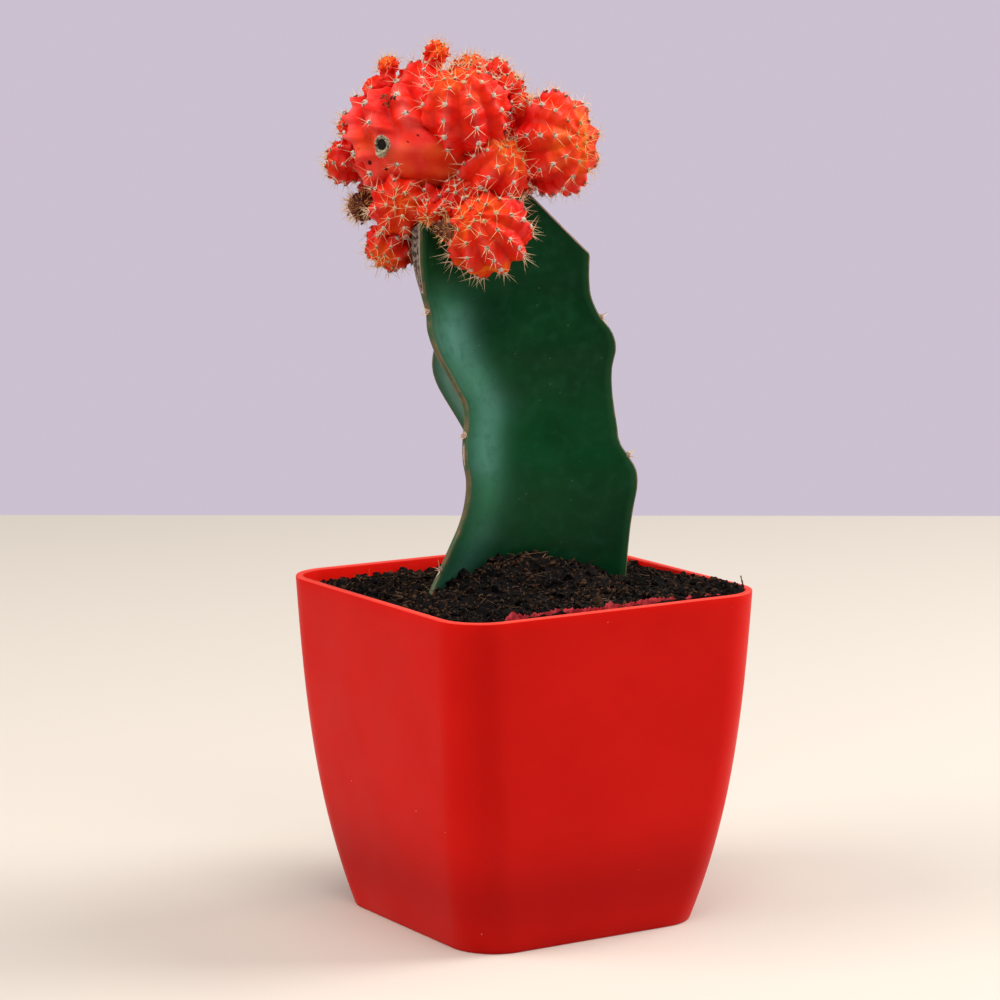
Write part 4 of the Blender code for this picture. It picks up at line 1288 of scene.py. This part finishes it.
RED_SKIN = red_skin()
WITHERED_SKIN = withered_skin()
for globe in GLOBES:
    skin = WITHERED_SKIN if globe.name in WITHERED else RED_SKIN
    hand_over(model_globe(globe), skin, "scion")

# %% [markdown]
# ## Areoles and spines
# Each areole is a flat cushion of wool, and its spines lean outwards round its rim. Young
# areoles near a growing point are yellow and crowded, old ones are grey and far apart.

# %% Where the areoles are
Areole = namedtuple("Areole", "place outward down age size")


def areoles_of(globe):
    """Every areole of a globe, along its ribs from the top down."""
    axis = Vector(globe_axes(globe)[0])
    found = []
    for rib in range(globe.ribs):
        for row in range(-1, 12):
            polar = FIRST_AREOLE + (row + (rib * ROW_SHIFT) % 1.0) * areole_step(globe)
            around = math.tau * rib / globe.ribs + math.radians(globe.spiral) * (polar - 1.3)
            around = (around + math.pi) % math.tau - math.pi
            calm = flank(globe, np.array([polar]), np.array([around]), *CALM_FLANK)[0] * (around > 0)
            off_dark = math.hypot(polar - DARK_AREOLE[0], around - DARK_AREOLE[1])
            if globe is MOTHER and off_dark < DARK_CLEAR or calm > 0.3:
                continue
            if not NEAREST_AREOLE < polar < LAST_AREOLE:
                continue
            place, outward = skin_spot(globe, polar, around)
            level = outward.cross(axis).normalized()
            age = min(max((polar - 0.3) / 0.7, 1.0 - globe.glow), 1.0)
            age = -1.0 if globe.name in BROWN_TIPPED else age
            found.append(Areole(place, outward, level.cross(outward), age, 0.75 + 0.25 * age))
    return found


def buried(point, own):
    """Whether a place lies inside another globe, or in what the globes grow from."""
    others = [(globe.centre, globe.radius * 0.95) for globe in GLOBES if globe is not own]
    return any((plant_point(*centre) - point).length < radius for centre, radius in (*others, *CORES))


AREOLES = [(globe, areole) for globe in GLOBES if globe.name not in BARE for areole in areoles_of(globe)
           if not buried(areole.place + areole.outward * 0.3, globe)]
print(f"{len(AREOLES)} areoles are in the open.")

# %% The woolly cushions
draw = random.Random(8)
cushions = rough_balls(draw, 4, (0.86, 1.14), (1.0, 0.9, 0.55), subdivisions=2)
copies = []
for globe, areole in AREOLES:
    size = 0.5 * areole.size * (0.6 + globe.radius / 18) * draw.uniform(0.85, 1.2)
    place = placed(areole.place + areole.outward * 0.12, facing(areole.outward, areole.down), [size] * 3)
    copies.append((draw.choice(cushions), place, areole.age))
wool = scatter("areole_wool", "age", copies, 180)


# %% The spines
def bent_spine(bow):
    """A thin four-sided spine along Z, one unit long, that curves towards +X."""
    spine = add(bpy.ops.mesh.primitive_cone_add, vertices=4, radius1=1.0, radius2=0.0, depth=1.0)
    points = cut_into_rings(spine, 2)
    points[:, 2] += 0.5
    points[:, 0] += bow * points[:, 2] ** 2 * 12
    move_points(spine, points)
    return template(spine)


SPINE_TURNS = (40, 140, 220, 320, 180, 90, 270)
MIDDLE_SPINE = 4  # this one stands nearly upright
SPINE_THICK = 0.066  # half of it, at the root
SPINE_LENGTHS = (1.5, 3.9)  # on the largest globes
SPINE_LEANS = (0.35, 1.25)  # off the areole's own direction, in radians
MIDDLE_LEANS = (0.0, 0.5)
BROKEN_OFF = 0.12  # share of the spines


def leaning(areole, angle, lean):
    """To which side of an areole a spine grows, and the direction it points."""
    side = areole.down * math.cos(angle) + areole.outward.cross(areole.down) * math.sin(angle)
    return side, (areole.outward * math.cos(lean) + side * math.sin(lean)).normalized()


def spine_places(draw):
    """A matrix and an age for every spine."""
    found = []
    for globe, areole in AREOLES:
        for number in range(6 if globe.radius > 6 else 4):
            angle = math.radians(SPINE_TURNS[number] + draw.uniform(-22, 22))
            lean = draw.uniform(*(MIDDLE_LEANS if number == MIDDLE_SPINE else SPINE_LEANS))
            length = draw.uniform(*SPINE_LENGTHS) * min(1.0, 0.45 + globe.radius / 12)
            side, direction = leaning(areole, angle, lean)
            root = areole.place + side * 0.35 + areole.outward * 0.1
            if buried(root + direction * length, globe) or draw.random() < BROKEN_OFF:
                continue
            thick = SPINE_THICK * draw.uniform(0.75, 1.25)
            found.append((thin_rod(root, direction, length, thick, draw), areole.age))
    return found


spine_shapes = [bent_spine(bow) for bow in (0.0, 0.12, 0.28)]
places = spine_places(draw)
spines = scatter("spines", "age", [(draw.choice(spine_shapes), *place) for place in places], 60)


# %% The finish of the wool and the spines
def wool_material():
    wire = new_material("areole wool", Roughness=0.95)
    age = wire.value("age")
    color = wire.layers((0.60, 0.33, 0.09), (age, (0.66, 0.52, 0.42)),
                        (wire.range(age, -0.2, -0.8), (0.16, 0.05, 0.02)),
                        (wire.patches(1900.0, 3.0, 0.47, 0.62), (0.13, 0.085, 0.055)))
    return wire.finish(Base_Color=color, Normal=wire.bump(wire.noise(2600.0, 3.0), 0.0003, 0.9))


def spine_material():
    wire = new_material("spine horn", Roughness=0.5)
    stain = wire.times(wire.patches(600.0, 3.0, 0.5, 0.7), 0.5)
    return wire.finish(Base_Color=wire.layers((0.84, 0.50, 0.14), (wire.value("age"), (0.82, 0.62, 0.36)),
                                              (stain, (0.35, 0.2, 0.12))))


SPINE_HORN = spine_material()
hand_over(wool, wool_material())
hand_over(spines, SPINE_HORN)

# %% [markdown]
# ## What has dried
# Old areoles and buds that failed dry out and stay on the plant: one large dark areole on the
# mother, a withered bud behind her, and shrivelled bits above the rootstock. Brown flakes
# cling to them. A ring with a torn rim makes the dark areole.

# %% The dark areole on the mother
DARK_RADIUS = 1.3
DARK_PLACE, DARK_OUTWARD = skin_spot(MOTHER, *DARK_AREOLE)
DARK_TURN = np.array(DARK_OUTWARD.to_track_quat("Z", "Y").to_matrix())


def set_on_mother(piece, points, lift, name, tone):
    """Move a shape onto the dark areole, lifted off the skin, and give it its tone and name."""
    middle = np.array(DARK_PLACE + DARK_OUTWARD * lift)
    return shape(piece, points @ DARK_TURN.T + middle, name, 180, tone=tone)


def torn_ring():
    ring = add(bpy.ops.mesh.primitive_torus_add, major_segments=40, minor_segments=14,
               major_radius=DARK_RADIUS, minor_radius=0.38)
    points = points_of(ring)
    torn, fine = noise_at(points, 2.3), noise_at(points, 6.0)
    tone = np.clip(0.32 + 0.3 * points[:, 0] / DARK_RADIUS + torn * 0.9 + fine * 0.6, 0, 1)
    points *= (1.0 + 0.22 * torn)[:, None] * (1.0, 1.12, 1.0)
    points[:, 2] = points[:, 2] * 1.3 + 0.55 * np.maximum(torn, 0) + 0.2 * fine
    return set_on_mother(ring, points, 0.15, "dark_areole", tone)


def dark_floor():
    """The dark floor inside the ring: a flat, uneven ball."""
    ball = add(bpy.ops.mesh.primitive_uv_sphere_add, segments=24, ring_count=12, radius=1.25)
    points = points_of(ball) * (1.0, 1.0, 0.25)
    points[:, 2] += 0.15 * noise_at(points, 4.0)
    return set_on_mother(ball, points, 0.38, "dark_pit", np.full(len(points), -0.6))


def dead_tuft():
    """The tuft of dead wool below the hole."""
    ball = add(bpy.ops.mesh.primitive_uv_sphere_add, segments=28, ring_count=18, radius=1.0)
    points = points_of(ball)
    torn = noise_at(points * 3.1 + (7, 0, 0))
    points *= (1.0 + 0.35 * torn)[:, None] * (1.15, 0.85, 0.7)
    return set_on_mother(ball, points + (-0.35, -1.75, 0.25), 0.0, "dark_tuft", np.clip(0.45 + torn, 0, 1))


dark_pieces = (torn_ring(), dark_floor(), dead_tuft())

# %% Brown flakes and stubs
# middle (across, back, up), spread, how many, largest size, all in millimetres
FLAKE_PLACES = (((-33.2, -0.6, 149.0), 3.2, 60, 0.6), ((-27.3, -10.0, 171.9), 1.5, 34, 0.38),
                ((-14.9, -17.3, 145.5), 2.1, 42, 0.5), ((-34.6, -5.0, 157.8), 0.9, 10, 0.4))


def random_turn(draw):
    return Euler([draw.uniform(0, math.tau) for _ in range(3)]).to_matrix().to_4x4()


def in_a_ball(draw):
    """A direction with a length from 0.75 to 1."""
    return any_direction(draw) * draw.uniform(0.75, 1.0)


draw = random.Random(21)
shapes = rough_balls(draw, 5, (0.55, 1.3), (1.0, (0.4, 0.9), (0.25, 0.6)))
copies = []
for middle, spread, count, largest in FLAKE_PLACES:
    for _ in range(count):
        place = plant_point(*middle) + in_a_ball(draw) * spread
        size = largest * draw.uniform(0.3, 1.0)
        copies.append((draw.choice(shapes), placed(place, random_turn(draw), [size] * 3), draw.random()))
flakes = scatter("dried_flakes", "tone", copies)

# %% Spines of the withered bits, and the shards of the dark areole
# middle, radius from which they grow, how many, shortest, longest
TUFTS = (((-33.0, 0.5, 149.3), 3.0, 240, 1.1, 2.9), ((-15.0, -16.8, 145.5), 1.9, 80, 0.9, 1.9),
         ((-18.9, -14.2, 149.0), 2.3, 44, 1.0, 2.4), ((-11.4, 1.0, 177.2), 3.4, 80, 1.5, 2.8))
SHARDS = 11
copies = []
for middle, radius, count, shortest, longest in TUFTS:
    for _ in range(count):
        outward = in_a_ball(draw).normalized()
        place = plant_point(*middle) + outward * radius
        lean = (outward + in_a_ball(draw) * 0.35).normalized()
        copies.append((draw.choice(spine_shapes),
                       thin_rod(place, lean, draw.uniform(shortest, longest), 0.075, draw),
                       draw.uniform(0.0, 0.35)))
for number in range(SHARDS):
    around = math.tau * number / SHARDS + draw.uniform(-0.15, 0.15)
    side = Vector(DARK_TURN @ (math.cos(around), math.sin(around), 0.0))
    lean = (DARK_OUTWARD + side * draw.uniform(0.2, 1.2)).normalized()
    copies.append((draw.choice(spine_shapes),
                   thin_rod(DARK_PLACE + side * DARK_RADIUS, lean, draw.uniform(0.5, 1.5), 0.1, draw), 1.0))
dry_spines = scatter("dried_spines", "age", copies, 60)


# %% The finish of what has dried
def dried_material(name, dark, light):
    wire = new_material(name, Roughness=0.85, Specular_IOR_Level=0.15)
    share = wire.times(wire.patches(1500.0, 4.0, 0.35, 0.7, 0.0, 0.5), wire.value("tone"), "ADD")
    return wire.finish(Base_Color=wire.mix(share, dark, light),
                       Normal=wire.bump(wire.noise(2200.0, 4.0), 0.0004, 0.9))


GREY_WOOL = dried_material("dead wool", (0.010, 0.008, 0.006), (0.52, 0.44, 0.30))
BROWN_BITS = dried_material("dried skin", (0.05, 0.014, 0.007), (0.27, 0.11, 0.045))
for piece in dark_pieces:
    hand_over(piece, GREY_WOOL)
hand_over(flakes, BROWN_BITS)
hand_over(dry_spines, SPINE_HORN)

# %% [markdown]
# ## The rootstock's areoles
# The green stem has its own areoles, far apart on the edges of its wings. Each is a brown
# cushion on a small bump, with a few short spines. The cushions and spines are the same
# shapes as the scion's, set along the wings.

# %% Cushions and spines on the wings
STEM_AREOLES = ((RIGHT, 97.7), (RIGHT, 126.4), (LEFT, 75.9), (LEFT, 103.0), (LEFT, 128.6),
                (REAR, 123.0), (REAR, 137.0))
STEM_SPINE_TURNS = (20, 95, 165, 250, 310)


def stem_areole(wing, height):
    axis, reaches = wing_reaches(height)
    cos, sin = math.cos(WING_TURNS[wing]), math.sin(WING_TURNS[wing])
    outward = plant_point(cos, sin, 0.18).normalized()
    place = plant_point(axis + cos * reaches[wing], sin * reaches[wing], height + 0.3)
    down = Vector((0, 0, -1)) + outward * outward.z
    return Areole(place, outward, down.normalized(), 1.0, 1.0)


draw = random.Random(33)
pads, thorns = [], []
for areole in (stem_areole(*where) for where in STEM_AREOLES):
    for _ in range(3):
        shift = areole.down * draw.uniform(-0.5, 0.5) + areole.outward * draw.uniform(-0.25, 0.1)
        pads.append((draw.choice(cushions),
                     placed(areole.place + shift, facing(areole.outward, areole.down),
                            [draw.uniform(0.45, 0.8)] * 3),
                     draw.uniform(0.2, 0.8)))
    for turn in STEM_SPINE_TURNS:
        angle = math.radians(turn + draw.uniform(-20, 20))
        side, direction = leaning(areole, angle, draw.uniform(0.3, 1.0))
        thorns.append((draw.choice(spine_shapes),
                       thin_rod(areole.place + side * 0.3, direction, draw.uniform(1.0, 2.6), 0.13, draw),
                       1.0))
stem_pads = scatter("stem_areoles", "tone", pads, 180)
stem_thorns = scatter("stem_spines", "age", thorns, 60)
hand_over(stem_pads, dried_material("brown wool", (0.09, 0.045, 0.03), (0.46, 0.33, 0.25)))
hand_over(stem_thorns, SPINE_HORN)

# %% [markdown]
# ## The strip behind the rim
# A ragged strip of thin dark-pink plastic film stands between the mix and the front wall of
# the pot, a millimetre or two above the rim. A narrow grid, bent along the wall and torn
# along its upper edge by noise, gives it; Solidify then makes it a thin sheet.

# %% The strip
STRIP_FROM, STRIP_TO = -27.5, 28.5
STRIP_SEGMENTS = 220
STRIP_LOW = 67.0
STRIP_OFF_WALL = 0.42
STRIP_THICK = 0.16
STRIP_SHOWS = 0.35  # how far it stands above the rim
STRIP_TEAR = 0.6  # how unevenly its upper edge is torn
# where the torn edge rises, how far, how widely
STRIP_PEAKS = ((-25.6, 1.5, 2.2), (-1.2, 0.9, 1.2), (9.0, 0.6, 5.0), (-14.0, 0.5, 6.0))


def model_strip():
    strip = add(bpy.ops.mesh.primitive_grid_add, x_subdivisions=STRIP_SEGMENTS, y_subdivisions=6, size=1.0)
    across, up, _ = (points_of(strip) + 0.5).T
    along = STRIP_FROM + (STRIP_TO - STRIP_FROM) * across
    torn = np.array([noise.noise((a * 0.9, 0.0, 3.0)) + 0.7 * noise.noise((a * 2.7, 0.0, 8.0))
                     for a in along])
    top = POT_HEIGHT + STRIP_SHOWS + STRIP_TEAR * torn
    for at, rise, width in STRIP_PEAKS:
        top += rise * bell(along, at, width)
    ends = np.clip(np.minimum(along - STRIP_FROM, STRIP_TO - along) / 3.0, 0, 1)
    top = STRIP_LOW + (top - STRIP_LOW) * ends**0.5
    wave = np.array([0.22 * noise.noise((a * 0.35, 5.0, b * 1.2)) for a, b in zip(along, up)])
    lean = 0.35 * np.clip(top - POT_HEIGHT, 0, 2) * up
    front = WALL + STRIP_OFF_WALL - RIM_HALF + wave + lean
    move_points(strip, np.column_stack((along, front, STRIP_LOW + (top - STRIP_LOW) * up)) * MM)
    apply(strip, "SOLIDIFY", thickness=STRIP_THICK * MM, offset=0.0)
    return settle(strip, "film_strip", 50)


def film_material():
    wire = new_material("torn film", Roughness=0.35, Subsurface_Weight=0.6,
                        Subsurface_Radius=(1.0, 0.15, 0.2), Subsurface_Scale=0.001)
    color = wire.mix(wire.patches(520.0, 4.0, 0.4, 0.62), (0.26, 0.008, 0.016), (0.55, 0.045, 0.060))
    grime = wire.patches(1400.0, 3.0, 0.6, 0.68)
    return wire.finish(Base_Color=wire.mix(grime, color, (0.06, 0.02, 0.015)))


hand_over(model_strip(), film_material())

# %% A twig in the corner
TWIG_ROOT = Vector((35.2, -29.8, 69.4))
TWIG_TIP = Vector((35.7, -29.4, 73.0))


def model_twig():
    twig = add(bpy.ops.mesh.primitive_cylinder_add, vertices=8, radius=1.0, depth=1.0, end_fill_type="NGON")
    unit = cut_into_rings(twig, 9)
    share = unit[:, 2] + 0.5
    thick = 0.27 - 0.15 * share + 0.05 * np.sin(share * 21)
    line = np.array(TWIG_ROOT) + share[:, None] * np.array(TWIG_TIP - TWIG_ROOT)
    line[:, 0] += 0.35 * np.sin(share * 4.2)
    return shape(twig, line + unit * (1, 1, 0) * thick[:, None], "twig", 60, tone=share * 0.6)


hand_over(model_twig(), BROWN_BITS)
